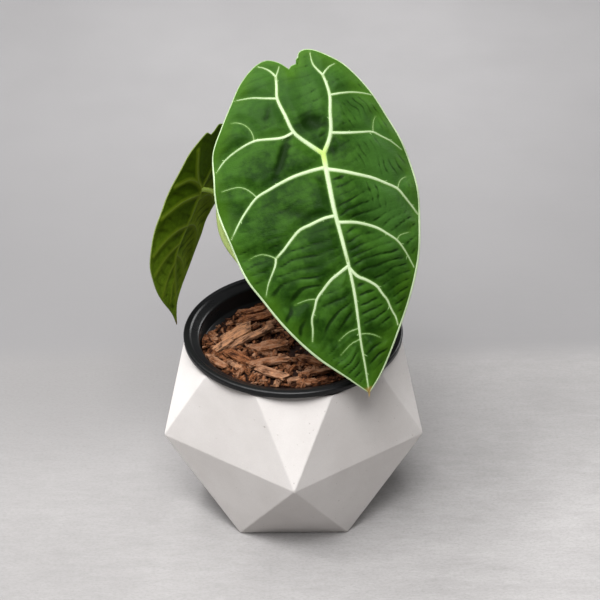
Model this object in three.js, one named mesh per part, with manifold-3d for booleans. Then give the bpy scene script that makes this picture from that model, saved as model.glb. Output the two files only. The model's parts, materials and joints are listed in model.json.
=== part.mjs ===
import * as THREE from 'three';
import Module from 'manifold-3d';

// Driving dimensions in millimetres, base on z = 0, front towards -y.
const gap = 0.35;

// Planter
const planterSides = 5;
const planterHeight = 104.2;
const baseRadius = 50.9;
const waistRadius = 75;
const waistHeight = 55.2;
const crownRadius = 54.6;
const crownHeight = 133.3;
const cavityFloor = 9;
const cavityFloorRadius = 42.5;
const mouthRadius = 53.6;

// Nursery pot, hung a little askew in the planter
const rimHeight = 109;
const rimRadius = 60;
const potDepth = 94;
const potTilt = THREE.MathUtils.degToRad(-1.1);
const potWall = 1.2;
const potFloor = 1.8;
const drainHoles = 6;
const drainHoleRadius = 3.5;
const drainHoleRing = 25;

// Bark mix
const barkLevel = -8;
const barkSlope = -0.1;
const barkDome = 1.6;
const chipCount = 84;
const chipLength = [9, 19];
const chipWidth = [4.2, 7.2];
const chipThickness = [2.4, 3.8];
const chipSeed = 41;
const chipTurn = Math.PI * (3 - Math.sqrt(5));

// Leaves
const bladeThickness = 0.9;
const puffHeight = 1.4;
const puffReach = 6.5;
const keelDepth = 1.1;
const marginInset = 0.85;
const rearVeinRoom = 1.5;
const stemDepth = 24;
const stemSides = 10;
const stemSteps = 16;

const wasm = await Module();
wasm.setup();

// Solids from corner lists

function solid(points, faces) {
  const index = new Map();
  const corners = [];
  const merged = points.map((p) => {
    const key = p.map((v) => Math.round(v * 2000)).join(' ');
    if (!index.has(key)) {
      index.set(key, corners.length);
      corners.push(p);
    }
    return index.get(key);
  });
  let tris = faces.map((f) => f.map((i) => merged[i]));
  tris = tris.filter(([a, b, c]) => a !== b && b !== c && c !== a);
  let volume = 0;
  for (const [a, b, c] of tris) {
    const [p, q, r] = [corners[a], corners[b], corners[c]];
    volume += p[0] * (q[1] * r[2] - q[2] * r[1]);
    volume -= p[1] * (q[0] * r[2] - q[2] * r[0]);
    volume += p[2] * (q[0] * r[1] - q[1] * r[0]);
  }
  if (volume < 0) tris = tris.map(([a, b, c]) => [a, c, b]);
  return new wasm.Manifold(new wasm.Mesh({
    numProp: 3,
    vertProperties: new Float32Array(corners.flat()),
    triVerts: new Uint32Array(tris.flat()),
  }));
}

function largestBody(body) {
  const parts = body.decompose();
  return parts.reduce((a, b) => (b.volume() > a.volume() ? b : a));
}

function meshOf(name, body, color, roughness) {
  const data = largestBody(body).getMesh();
  const geometry = new THREE.BufferGeometry();
  const position = new THREE.BufferAttribute(new Float32Array(data.vertProperties), 3);
  geometry.setAttribute('position', position);
  geometry.setIndex(Array.from(data.triVerts));
  const material = new THREE.MeshStandardMaterial({ color, roughness, metalness: 0 });
  const mesh = new THREE.Mesh(geometry, material);
  mesh.name = name;
  return mesh;
}

// A closed profile of [radius, height] turned round the z axis
function revolve(profile, sides, place = (p) => p) {
  const points = [];
  const faces = [];
  for (const [r, z] of profile) {
    for (let k = 0; k < sides; k += 1) {
      const a = (2 * Math.PI * k) / sides;
      points.push(place([r * Math.cos(a), r * Math.sin(a), z]));
    }
  }
  for (let i = 0; i < profile.length; i += 1) {
    const next = (i + 1) % profile.length;
    if (profile[i][0] === 0 && profile[next][0] === 0) continue;
    for (let k = 0; k < sides; k += 1) {
      const l = (k + 1) % sides;
      faces.push([i * sides + k, i * sides + l, next * sides + l]);
      faces.push([i * sides + k, next * sides + l, next * sides + k]);
    }
  }
  return solid(points, faces);
}

// A round stem along a smooth path, its radius running through the radii given.
// With some extra radius it is the room round that stem, and starts a little lower.
function stem(path, radii, extra = 0) {
  const sides = stemSides;
  const steps = stemSteps;
  const curve = new THREE.CatmullRomCurve3(path.map((p) => new THREE.Vector3(...p)));
  const start = extra > 0 ? 0 : gap / curve.getLength();
  const frames = curve.computeFrenetFrames(steps, false);
  const points = [];
  const faces = [];
  for (let i = 0; i <= steps; i += 1) {
    const centre = curve.getPointAt(Math.max(i / steps, start));
    const at = (i / steps) * (radii.length - 1);
    const k = Math.min(Math.floor(at), radii.length - 2);
    const radius = THREE.MathUtils.lerp(radii[k], radii[k + 1], at - k) + extra;
    for (let s = 0; s < sides; s += 1) {
      const a = (2 * Math.PI * s) / sides;
      const p = centre.clone();
      p.addScaledVector(frames.normals[i], radius * Math.cos(a));
      p.addScaledVector(frames.binormals[i], radius * Math.sin(a));
      points.push(p.toArray());
    }
  }
  const first = points.push(curve.getPointAt(start).toArray()) - 1;
  const last = points.push(curve.getPointAt(1).toArray()) - 1;
  for (let s = 0; s < sides; s += 1) {
    const t = (s + 1) % sides;
    for (let i = 0; i < steps; i += 1) {
      faces.push([i * sides + s, i * sides + t, (i + 1) * sides + t]);
      faces.push([i * sides + s, (i + 1) * sides + t, (i + 1) * sides + s]);
    }
    faces.push([first, t, s]);
    faces.push([last, steps * sides + s, steps * sides + t]);
  }
  return solid(points, faces);
}

function seeded(seed) {
  let state = seed;
  return (low, high) => {
    state = (state * 1664525 + 1013904223) % 4294967296;
    return low + ((high - low) * state) / 4294967296;
  };
}

// Planter: base, waist and crown rings a half turn apart, cut level under the rim

function ringPoint(radius, height, turn) {
  const a = ((turn * 2) / planterSides - 0.5) * Math.PI;
  return [radius * Math.cos(a), radius * Math.sin(a), height];
}

function planterOutside() {
  const cut = (planterHeight - waistHeight) / (crownHeight - waistHeight);
  const mix = (p, q) => p.map((v, i) => v + (q[i] - v) * cut);
  const points = [[0, 0, 0], [0, 0, planterHeight]];
  for (let k = 0; k < planterSides; k += 1) {
    const waist = ringPoint(waistRadius, waistHeight, k);
    points.push(ringPoint(baseRadius, 0, k + 0.5));
    points.push(waist);
    points.push(mix(waist, ringPoint(crownRadius, crownHeight, k - 0.5)));
    points.push(mix(waist, ringPoint(crownRadius, crownHeight, k + 0.5)));
  }
  const at = (k, i) => 2 + 4 * ((k + planterSides) % planterSides) + i;
  const faces = [];
  for (let k = 0; k < planterSides; k += 1) {
    faces.push([0, at(k, 0), at(k - 1, 0)]);
    faces.push([at(k - 1, 0), at(k, 0), at(k, 1)]);
    faces.push([at(k, 0), at(k + 1, 1), at(k, 1)]);
    faces.push([at(k, 1), at(k, 3), at(k, 2)]);
    faces.push([at(k, 1), at(k + 1, 1), at(k + 1, 2)]);
    faces.push([at(k, 1), at(k + 1, 2), at(k, 3)]);
    faces.push([1, at(k, 2), at(k, 3)]);
    faces.push([1, at(k, 3), at(k + 1, 2)]);
  }
  return solid(points, faces);
}

function planter() {
  const cavity = revolve([
    [0, cavityFloor],
    [cavityFloorRadius, cavityFloor],
    [mouthRadius, planterHeight],
    [mouthRadius, planterHeight + 5],
    [0, planterHeight + 5],
  ], 48);
  return meshOf('planter', planterOutside().subtract(cavity), 0xe4e0dc, 0.85);
}

// Nursery pot: heights run down from the top of the rim

function potPlace([x, y, z]) {
  const c = Math.cos(potTilt);
  const s = Math.sin(potTilt);
  return [c * x + s * z, y, c * z - s * x + rimHeight];
}

function potInside(inset, top) {
  return [
    [0, -potDepth + potFloor + inset],
    [37.4 - inset, -potDepth + potFloor + inset],
    [48 - inset, -12.4],
    [50.6 - inset, -11.4 + inset],
    [51.4 - inset, -2.6],
    top,
  ];
}

function nurseryPot() {
  const profile = [
    ...potInside(0, [55.9, -0.9]),
    [56.7, -0.1],
    [59.2, 0],
    [rimRadius, -0.8],
    [rimRadius - 0.2, -3.3],
    [58.6, -3.3],
    [58.3, -1.6],
    [56.2, -1.7],
    [51.4 + potWall, -3.1],
    [50.6 + potWall, -12.2],
    [48.2 + potWall, -13.6],
    [37.6 + potWall, -potDepth + 0.6],
    [37.6, -potDepth],
    [0, -potDepth],
  ];
  let pot = revolve(profile, 40, potPlace);
  for (let k = 0; k < drainHoles; k += 1) {
    const a = (2 * Math.PI * k) / drainHoles;
    const x = drainHoleRing * Math.cos(a);
    const y = drainHoleRing * Math.sin(a);
    const place = ([u, v, z]) => potPlace([x + u, y + v, z]);
    const hole = [[0, -potDepth - 3], [drainHoleRadius, -potDepth - 3],
      [drainHoleRadius, -potDepth + 4], [0, -potDepth + 4]];
    pot = pot.subtract(revolve(hole, 8, place));
  }
  return meshOf('nursery_pot', pot, 0x2b2d30, 0.5);
}

// Bark mix: a sloping plug that fills the pot, with chips half sunk in its top

function barkHeight(x, y) {
  return barkLevel + barkSlope * y + barkDome * (1 - (x * x + y * y) / 2500);
}

function barkPlug() {
  const rings = [0, 14, 28, 42, 56];
  const sides = 28;
  const points = [];
  const faces = [];
  for (const r of rings) {
    for (let k = 0; k < sides; k += 1) {
      const a = (2 * Math.PI * k) / sides;
      const [x, y] = [r * Math.cos(a), r * Math.sin(a)];
      points.push([x, y, barkHeight(x, y)]);
    }
  }
  const floor = -potDepth - 5;
  for (let k = 0; k < sides; k += 1) {
    const a = (2 * Math.PI * k) / sides;
    points.push([56 * Math.cos(a), 56 * Math.sin(a), floor]);
  }
  const middle = points.push([0, 0, floor]) - 1;
  for (let k = 0; k < sides; k += 1) {
    const l = (k + 1) % sides;
    for (let i = 0; i < rings.length; i += 1) {
      faces.push([i * sides + k, (i + 1) * sides + k, (i + 1) * sides + l]);
      faces.push([i * sides + k, (i + 1) * sides + l, i * sides + l]);
    }
    faces.push([middle, rings.length * sides + l, rings.length * sides + k]);
  }
  return solid(points.map(potPlace), faces);
}

function barkChip(random, x, y) {
  const half = random(...chipLength) / 2;
  const wide = random(...chipWidth) / 2;
  const thick = random(...chipThickness) / 2;
  const cut = random(0.35, 0.9);
  const outline = [[-half, -wide * 0.8], [half, -wide * random(0.2, 1)], [half * cut, wide],
    [-half * random(0.7, 1), wide * 0.8]];
  const points = [];
  for (const z of [-thick, thick]) {
    const shrink = z > 0 ? 0.86 : 1;
    for (const [u, v] of outline) points.push([u * shrink, v * shrink, z]);
  }
  const faces = [[0, 2, 1], [0, 3, 2], [4, 5, 6], [4, 6, 7]];
  for (let k = 0; k < 4; k += 1) {
    const l = (k + 1) % 4;
    faces.push([k, l, 4 + l]);
    faces.push([k, 4 + l, 4 + k]);
  }
  const turn = new THREE.Euler(random(-0.4, 0.4), random(-0.32, 0.32), random(0, Math.PI), 'ZYX');
  const pose = new THREE.Matrix4().makeRotationFromEuler(turn);
  pose.setPosition(x, y, barkHeight(x, y) + random(-0.2, 1));
  const placed = points.map((p) => new THREE.Vector3(...p).applyMatrix4(pose).toArray());
  return solid(placed.map(potPlace), faces);
}

function barkMix(leafStems) {
  const random = seeded(chipSeed);
  let mix = barkPlug();
  for (let k = 0; k < chipCount; k += 1) {
    const r = 50 * Math.sqrt((k + 0.5) / chipCount);
    const a = k * chipTurn;
    const x = r * Math.cos(a) + random(-1.5, 1.5);
    const y = r * Math.sin(a) + random(-1.5, 1.5);
    mix = mix.add(barkChip(random, x, y));
  }
  const room = revolve([...potInside(gap, [51.4 - gap, 12]), [0, 12]], 40, potPlace);
  mix = mix.intersect(room);
  for (const { path, radii } of leafStems) mix = mix.subtract(stem(path, radii, gap));
  return meshOf('bark_mix', mix, 0xa2633f, 0.9);
}

// Leaves: x runs across, y up the blade from the petiole joint, z out of the upper face

function spaced(path, count) {
  const curve = new THREE.CatmullRomCurve3(path.map(([x, y]) => new THREE.Vector3(x, y, 0)));
  return curve.getSpacedPoints(count).map((p) => [p.x, p.y]);
}

function veinDistance(lines, x, y) {
  let best = Infinity;
  for (const line of lines) {
    for (let i = 1; i < line.length; i += 1) {
      const [ax, ay] = line[i - 1];
      const [dx, dy] = [line[i][0] - ax, line[i][1] - ay];
      const t = ((x - ax) * dx + (y - ay) * dy) / (dx * dx + dy * dy);
      const s = Math.min(Math.max(t, 0), 1);
      best = Math.min(best, Math.hypot(x - ax - s * dx, y - ay - s * dy));
    }
  }
  return best;
}

// Rows run from the notch to the tip, columns from the left edge over the midrib to the right
function bladeGrid(leaf) {
  const middle = spaced(leaf.middle, leaf.rows);
  const edges = [spaced(leaf.leftEdge, leaf.rows), spaced(leaf.rightEdge, leaf.rows)];
  const lines = leaf.veins.map((vein) => spaced(vein.path, 12));
  const width = 2 * leaf.half + 1;
  const points = [];
  for (let j = 0; j <= leaf.rows; j += 1) {
    for (let i = -leaf.half; i <= leaf.half; i += 1) {
      const edge = edges[i < 0 ? 0 : 1][j];
      const t = Math.abs(i) / leaf.half;
      const x = middle[j][0] + (edge[0] - middle[j][0]) * t;
      const y = middle[j][1] + (edge[1] - middle[j][1]) * t;
      const puff = THREE.MathUtils.smoothstep(veinDistance(lines, x, y), 0.6, puffReach);
      const keel = i === 0 ? leaf.keel * Math.min(1, Math.min(j, leaf.rows - j) / 6) : 0;
      points.push([x, y, leaf.height(x, y) + leaf.puff * puff, keel]);
    }
  }
  const faces = [];
  for (let j = 0; j < leaf.rows; j += 1) {
    for (let i = 0; i < width - 1; i += 1) {
      const [a, b] = [j * width + i, j * width + i + 1];
      const [c, d] = [a + width, b + width];
      if (i < leaf.half) faces.push([a, c, d], [a, d, b]);
      else faces.push([a, c, b], [b, c, d]);
    }
  }
  return { points, faces, width };
}

// Height of the flat facet over x, y
function facetHeight(grid, x, y) {
  let best = -Infinity;
  let height = 0;
  for (const face of grid.faces) {
    const [p, q, r] = face.map((i) => grid.points[i]);
    const area = (q[0] - p[0]) * (r[1] - p[1]) - (r[0] - p[0]) * (q[1] - p[1]);
    if (Math.abs(area) < 1e-6) continue;
    const u = ((q[0] - x) * (r[1] - y) - (r[0] - x) * (q[1] - y)) / area;
    const v = ((r[0] - x) * (p[1] - y) - (p[0] - x) * (r[1] - y)) / area;
    const inside = Math.min(u, v, 1 - u - v);
    if (inside > best) {
      best = inside;
      height = u * p[2] + v * q[2] + (1 - u - v) * r[2];
    }
    if (inside >= 0) break;
  }
  return height;
}

function leafPlace(leaf) {
  const y = new THREE.Vector3(...leaf.up).normalize();
  const z = new THREE.Vector3(...leaf.face);
  z.addScaledVector(y, -z.dot(y)).normalize();
  const x = new THREE.Vector3().crossVectors(y, z);
  const pose = new THREE.Matrix4().makeBasis(x, y, z).setPosition(...leaf.joint);
  return (p) => new THREE.Vector3(...p).applyMatrix4(pose).toArray();
}

// The blade between two offsets from its upper face
function bladeShell(leaf, grid, above, below) {
  const place = leafPlace(leaf);
  const top = grid.points.map(([x, y, z]) => place([x, y, z + above]));
  const bottom = grid.points.map(([x, y, z, keel]) => place([x, y, z - below - keel]));
  const n = top.length;
  const faces = [];
  for (const [a, b, c] of grid.faces) faces.push([a, b, c], [n + a, n + c, n + b]);
  for (let j = 0; j < leaf.rows; j += 1) {
    for (const column of [0, grid.width - 1]) {
      const a = j * grid.width + column;
      const b = a + grid.width;
      if (column === 0) faces.push([a, n + a, n + b], [a, n + b, b]);
      else faces.push([a, n + b, n + a], [a, b, n + b]);
    }
  }
  return solid([...top, ...bottom], faces);
}

// A raised vein with a roof section along a path, on the side given by sign
function veinRidge(leaf, grid, path, wide, sign) {
  const place = leafPlace(leaf);
  const steps = Math.max(2, Math.round(pathLength(path) / leaf.veinStep));
  const line = spaced(path, steps);
  const points = [];
  const faces = [];
  const base = sign > 0 ? gap : -bladeThickness - gap;
  for (let i = 0; i <= steps; i += 1) {
    const [x, y] = line[i];
    const [px, py] = line[Math.max(i - 1, 0)];
    const [qx, qy] = line[Math.min(i + 1, steps)];
    const span = Math.hypot(qx - px, qy - py);
    const width = THREE.MathUtils.lerp(wide[0], wide[1], i / steps) / 2;
    const [nx, ny] = [(-(qy - py) / span) * width, ((qx - px) / span) * width];
    const rise = (0.55 + 0.45 * width) * sign;
    const heights = [-1, 0, 1].map((s) => facetHeight(grid, x + s * nx, y + s * ny) + base);
    points.push(place([x - nx, y - ny, heights[0]]));
    points.push(place([x + nx, y + ny, heights[2]]));
    points.push(place([x, y, heights[1] + rise]));
  }
  for (let i = 0; i < steps; i += 1) {
    for (let s = 0; s < 3; s += 1) {
      const t = (s + 1) % 3;
      faces.push([3 * i + s, 3 * i + t, 3 * i + 3 + t]);
      faces.push([3 * i + s, 3 * i + 3 + t, 3 * i + 3 + s]);
    }
  }
  faces.push([0, 2, 1], [3 * steps, 3 * steps + 1, 3 * steps + 2]);
  return solid(points, faces);
}

function pathLength(path) {
  let sum = 0;
  for (let i = 1; i < path.length; i += 1) {
    sum += Math.hypot(path[i][0] - path[i - 1][0], path[i][1] - path[i - 1][1]);
  }
  return sum;
}

// The edge line drawn in from the margin, towards the midrib side
function insetEdge(edge, inset, sign) {
  const line = spaced(edge, 40);
  return line.map(([x, y], i) => {
    const [px, py] = line[Math.max(i - 1, 0)];
    const [qx, qy] = line[Math.min(i + 1, 40)];
    const span = Math.hypot(qx - px, qy - py);
    return [x - (sign * (qy - py) * inset) / span, y + (sign * (qx - px) * inset) / span];
  });
}

function veinNet(leaf, grid, sign) {
  const ridges = leaf.veins.map((vein) => veinRidge(leaf, grid, vein.path, vein.wide, sign));
  ridges.push(veinRidge(leaf, grid, insetEdge(leaf.leftEdge, marginInset, 1), leaf.marginWide, sign));
  ridges.push(veinRidge(leaf, grid, insetEdge(leaf.rightEdge, marginInset, -1), leaf.marginWide, sign));
  const net = ridges.reduce((a, b) => a.add(b));
  const clear = gap - 0.15;
  const room = sign > 0 ? [clear, bladeThickness] : [0, bladeThickness + clear];
  return net.subtract(bladeShell(leaf, grid, ...room));
}

// Front leaf: joint of petiole and blade, the way up the blade and the way its upper face looks

const frontLength = 126.5;

function frontHeight(x, y) {
  const arch = y < 0 ? 7 * Math.sin((-Math.PI * y) / frontLength) : -0.175 * y - 0.001 * y * y;
  const droop = x > 0 ? -0.0115 * x * x : -0.0018 * x * x;
  const dimple = -2.5 * Math.exp(-(x * x + y * y) / 196);
  const window = THREE.MathUtils.smoothstep(y, 4, 18);
  const fold = -2.2 * Math.exp(-(((x + 3) / 7) ** 2)) * window;
  const reach = Math.abs(x) / (x > 0 ? 46 : 59);
  const wave = 1.1 * Math.sin((2 * Math.PI * y) / 27 + (x > 0 ? 1 : 3)) * reach ** 3;
  return arch + droop + dimple + fold + wave;
}

const frontLeaf = {
  joint: [15.8, 8, 213.9],
  up: [-0.183, 0.572, 0.8],
  face: [-0.018, -0.815, 0.579],
  height: frontHeight,
  puff: puffHeight,
  keel: keelDepth,
  rows: 30,
  half: 9,
  veinStep: 5.6,
  marginWide: [1.3, 1.3],
  middle: [[-8.8, 48.7], [-3.5, 25], [0, 0.5], [2, -56], [0, -126.5]],
  leftEdge: [[-8.8, 48.7], [-13.9, 53.3], [-20, 55.7], [-26.3, 53.7], [-35.2, 46], [-42.6, 35.3],
    [-50.2, 23.1], [-56.5, 11.3], [-58.4, -2], [-59.7, -18], [-56.2, -36.5], [-51.3, -56.8],
    [-45.5, -68.5], [-36.1, -85.7], [-23.6, -102.9], [-8.5, -118], [0, -126.5]],
  rightEdge: [[-8.8, 48.7], [-3.4, 51.6], [-4.1, 53.7], [-2.2, 56.6], [0.4, 57.8], [5.1, 56.8],
    [12.8, 52.1], [20.3, 45.9], [29.6, 32.5], [36.8, 16.6], [43.4, -2.8], [45.9, -26.3],
    [42.5, -47.7], [38.4, -63.3], [30, -81.8], [19.4, -100], [8, -117.4], [0, -126.5]],
  veins: [
    { path: [[0.3, 0.5], [0.1, -29.5], [1.9, -58.3], [1.5, -87.7], [0, -126]], wide: [3.2, 1] },
    { path: [[0, 0.5], [-12.7, 14.3], [-18, 34.2], [-16.5, 46]], wide: [2.7, 1.5] },
    { path: [[0.5, 0.5], [6.5, 12], [9.5, 30.1], [8, 42.4]], wide: [2.7, 1.5] },
    { path: [[-16.5, 46], [-18.5, 49.2], [-25.7, 53.5]], wide: [1.4, 0.9] },
    { path: [[-16.5, 46], [-13.8, 51.1]], wide: [1.2, 0.9] },
    { path: [[8, 42.4], [4, 49.3], [3.7, 56]], wide: [1.4, 0.9] },
    { path: [[8, 42.4], [11.9, 46], [16, 47.6]], wide: [1.3, 0.9] },
    { path: [[-18, 34.2], [-30.9, 37.2], [-40.3, 37.6]], wide: [1.4, 0.9] },
    { path: [[-13, 14.6], [-21, 12.8], [-33.6, 14], [-42.4, 11.5], [-51.3, 6.8], [-56.5, 1.6]],
      wide: [1.9, 0.9] },
    { path: [[-34, 14.2], [-36.8, 22.9], [-44.3, 26]], wide: [1, 0.8] },
    { path: [[9.6, 30.8], [22.6, 30.4], [31.7, 27.8]], wide: [1.4, 0.9] },
    { path: [[6.4, 10.6], [13.6, 9.3], [28.4, 7.6], [36.6, 1.9], [41.9, -3.6]], wide: [1.8, 0.9] },
    { path: [[28.4, 7.6], [29.1, 11.3], [31.7, 16]], wide: [1, 0.8] },
    { path: [[0.2, -7], [-11.6, -7.9], [-23.8, -10.6], [-38.1, -15.8], [-48.8, -26.1],
      [-55.2, -34.9]], wide: [2.3, 1] },
    { path: [[-38.3, -15.6], [-41.6, -11.5], [-47.6, -8.5], [-55.7, -9.1]], wide: [1, 0.8] },
    { path: [[0.3, -8], [15.5, -13.6], [29.7, -20.6], [35.3, -24.3], [38.4, -29.3], [43.5, -38.9]],
      wide: [2.3, 0.9] },
    { path: [[35.3, -24.3], [37.1, -20.9], [41.3, -18.4]], wide: [1, 0.8] },
    { path: [[0.1, -33.3], [-6, -33.6], [-19.4, -37.1], [-34.4, -49.3], [-38.4, -57.8],
      [-43.2, -67.7]], wide: [2.1, 0.9] },
    { path: [[-34.4, -49.3], [-40.7, -45.9], [-48.4, -47.2]], wide: [1, 0.8] },
    { path: [[0.7, -37], [8.4, -38.3], [20.8, -43.6], [29.5, -51.3], [35.6, -66.4]],
      wide: [2.1, 0.9] },
    { path: [[29.5, -51.3], [31.6, -48.9], [37.3, -48.1]], wide: [1, 0.8] },
    { path: [[1.9, -60.2], [-8.5, -65.8], [-17.5, -74.1], [-22.1, -84.2], [-24, -95.4]],
      wide: [1.8, 0.9] },
    { path: [[-17.5, -74.1], [-20.6, -73.7], [-29.3, -74.9]], wide: [1, 0.8] },
    { path: [[2, -61.5], [5.5, -66.6], [14.6, -73.6], [19.7, -86.9], [21.4, -95.1]],
      wide: [1.8, 0.9] },
    { path: [[1.1, -93], [-3.9, -93.8], [-10.4, -97.5]], wide: [1.1, 0.8] },
    { path: [[0.8, -98.6], [-4.1, -100.1], [-10.8, -104.9]], wide: [1, 0.8] },
    { path: [[0.9, -96], [4.6, -96.5], [11.3, -99.9]], wide: [1, 0.8] },
  ],
};

const frontStem = {
  path: [[9, 6, rimHeight - stemDepth], [9.2, 6.5, 112], [10.4, 12, 140], [12.4, 18, 172],
    [14.4, 17, 193], [15.6, 12, 207], [16, 6.5, 216]],
  radii: [3.8, 3.3, 2.6, 2.3, 2.1, 2],
};

// Rear leaf: smaller, its two sides uneven and its midrib bent to one side

const rearLength = 79.2;
const rearBend = 8.9;

function rearShift(y) {
  return y < 0 ? rearBend * Math.sin((-Math.PI * y) / rearLength) : 0;
}

function rearHeight(x, y) {
  const u = x - rearShift(y);
  const arch = y < 0 ? 2.8 * Math.sin((-Math.PI * y) / rearLength) : -0.078 * y;
  const curl = u > 0 ? 0.0048 * u * u : -0.0008 * u * u;
  const wave = 0.25 * Math.sin((2 * Math.PI * y) / 21 + (u > 0 ? 0 : 2)) * (Math.abs(u) / 36) ** 3;
  return arch + curl + 0.0021 * u * y + wave;
}

function rearPath(path, side) {
  return path.map(([x, y]) => [side * x + rearShift(y), y]);
}

const rearOuterEdge = [[5.2, 33.2], [10, 35], [16, 30.5], [21, 25.5], [25.2, 18.2], [29.2, 10.2],
  [32.5, 2.2], [33.4, -15.2], [31.7, -30.2], [26.5, -44.5], [15.5, -60.8], [8.6, -67.8],
  [3.6, -73.8], [0, -80.6]];

const rearInnerEdge = [[-5.2, 33.2], [-1, 36.2], [5.5, 37.2], [12, 35.5], [18.3, 31.5],
  [23.8, 25.4], [28.5, 18], [32.8, 10.7], [35.3, 1.9], [35.4, -7.5], [31.2, -26], [31.2, -34],
  [29, -42.3], [24.5, -49], [11.1, -61], [4.8, -66.5], [1.2, -73], [0, -80.6]];

const rearMidrib = [[0, 0.5], [-1.5, -8], [-1.5, -15], [1.5, -27], [3.6, -36], [1.8, -46],
  [-1.2, -62], [0, -79.8]];

const rearOuterVeins = [
  { path: [[0, 0.5], [6, 5], [11.5, 14], [15, 26]], wide: [1.8, 0.9] },
  { path: [[4.5, 4], [10, 7], [18, 9.5], [28, 7.5]], wide: [1.2, 0.8] },
  { path: [[-0.7, -3], [15, -2.5], [22, -4], [31.5, -9.2]], wide: [1.7, 0.9] },
  { path: [[-0.5, -20.5], [12, -19.8], [19.2, -21.8], [29.8, -29.8]], wide: [1.5, 0.9] },
  { path: [[2.4, -29.6], [12, -31.5], [18.5, -34.8], [25, -41.5]], wide: [1.4, 0.9] },
  { path: [[3.5, -40], [9, -44], [14, -51], [16, -57]], wide: [1.2, 0.8] },
  { path: [[0.8, -50], [4.5, -55], [7.5, -63]], wide: [1.1, 0.8] },
];

const rearInnerVeins = [
  { path: [[0, 0.5], [5, 9], [10, 18], [11, 29]], wide: [1.8, 0.9] },
  { path: [[7.4, 12.5], [19, 15], [29, 8.5]], wide: [1.2, 0.8] },
  { path: [[1.2, -6], [14, -6], [26, -12], [32, -21]], wide: [1.6, 0.9] },
  { path: [[0.8, -20], [12, -23], [22, -31], [26, -42]], wide: [1.5, 0.9] },
  { path: [[-3.4, -36], [5, -41], [12, -49], [15, -56]], wide: [1.2, 0.8] },
];

const rearLeaf = {
  joint: [-49.7, 32, 179.1],
  up: [0.19, 0.19, 0.963],
  face: [-0.9, 0.42, 0.1],
  height: rearHeight,
  puff: 0.8,
  keel: 0,
  rows: 22,
  half: 6,
  veinStep: 6.5,
  marginWide: [1.2, 1.2],
  middle: rearPath([[5.2, 33.2], [2, 16], [0, 0.5], [0, -20], [0, -40], [0, -60], [0, -80.6]], 1),
  leftEdge: rearPath(rearInnerEdge, -1),
  rightEdge: rearPath(rearOuterEdge, 1),
  veins: [
    { path: rearPath(rearMidrib, 1), wide: [2.6, 1] },
    ...rearOuterVeins.map(({ path, wide }) => ({ path: rearPath(path, 1), wide })),
    ...rearInnerVeins.map(({ path, wide }) => ({ path: rearPath(path, -1), wide })),
  ],
};

const rearStem = {
  path: [[4, 14, rimHeight - stemDepth], [1, 12.5, 103], [-9.2, 15, 117.8], [-23.4, 20.3, 133.4],
    [-32.3, 23.8, 143.2], [-37.1, 26, 151.2], [-39.6, 28, 161.4], [-40, 29.8, 171.4],
    [-41.4, 30.6, 176.8], [-46.2, 31.6, 178.9], [-52, 32.4, 179.2]],
  radii: [3.2, 2.6, 2.1, 1.9, 1.75, 1.6, 1.5],
};

function leafParts(name, leaf, leafStem, sign, clear) {
  const grid = bladeGrid(leaf);
  const blade = bladeShell(leaf, grid, 0, bladeThickness);
  const room = bladeShell(leaf, grid, 8, bladeThickness + clear);
  const petiole = stem(leafStem.path, leafStem.radii).subtract(room);
  return [
    meshOf(`${name}_petiole`, petiole, 0x9fbf62, 0.45),
    meshOf(`${name}_blade`, blade, sign > 0 ? 0x2f6b30 : 0x4d6a2c, 0.45),
    meshOf(`${name}_veins`, veinNet(leaf, grid, sign), sign > 0 ? 0xd3ecc0 : 0x9fb566, 0.5),
  ];
}

const group = new THREE.Group();
group.name = 'potted_alocasia_watsoniana';
group.add(planter());
group.add(nurseryPot());
group.add(barkMix([frontStem, rearStem]));
group.add(...leafParts('front_leaf', frontLeaf, frontStem, 1, gap));
group.add(...leafParts('rear_leaf', rearLeaf, rearStem, -1, gap + rearVeinRoom));

export default group;
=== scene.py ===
import json
import math
import random

import bmesh
import bpy
import numpy as np
from mathutils import Matrix, Vector, noise

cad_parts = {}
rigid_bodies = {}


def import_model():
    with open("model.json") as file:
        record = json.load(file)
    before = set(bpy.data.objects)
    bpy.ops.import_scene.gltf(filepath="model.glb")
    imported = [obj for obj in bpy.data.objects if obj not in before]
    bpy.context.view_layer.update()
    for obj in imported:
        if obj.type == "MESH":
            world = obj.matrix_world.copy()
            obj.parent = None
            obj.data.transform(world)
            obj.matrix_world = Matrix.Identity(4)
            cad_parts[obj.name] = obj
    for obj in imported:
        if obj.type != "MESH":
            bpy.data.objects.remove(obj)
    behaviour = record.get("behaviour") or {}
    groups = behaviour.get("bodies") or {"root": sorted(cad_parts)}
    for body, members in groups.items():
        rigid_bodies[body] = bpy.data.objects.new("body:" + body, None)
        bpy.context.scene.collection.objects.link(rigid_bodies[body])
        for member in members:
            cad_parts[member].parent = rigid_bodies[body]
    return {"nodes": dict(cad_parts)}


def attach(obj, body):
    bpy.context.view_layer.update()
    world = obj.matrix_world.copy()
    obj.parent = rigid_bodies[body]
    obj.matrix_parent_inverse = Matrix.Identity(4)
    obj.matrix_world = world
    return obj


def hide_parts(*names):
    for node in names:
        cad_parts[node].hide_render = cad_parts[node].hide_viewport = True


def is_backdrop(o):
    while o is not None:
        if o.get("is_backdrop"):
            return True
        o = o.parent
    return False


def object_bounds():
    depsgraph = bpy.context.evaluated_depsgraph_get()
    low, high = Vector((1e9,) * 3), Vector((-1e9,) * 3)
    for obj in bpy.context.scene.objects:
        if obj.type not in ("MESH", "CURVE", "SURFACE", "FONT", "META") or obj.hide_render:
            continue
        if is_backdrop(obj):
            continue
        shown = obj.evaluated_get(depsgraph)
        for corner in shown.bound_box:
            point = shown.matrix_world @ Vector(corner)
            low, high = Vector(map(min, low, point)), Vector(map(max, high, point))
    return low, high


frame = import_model()
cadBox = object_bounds()
print("frame loaded, solids:", len(frame["nodes"]))

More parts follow.
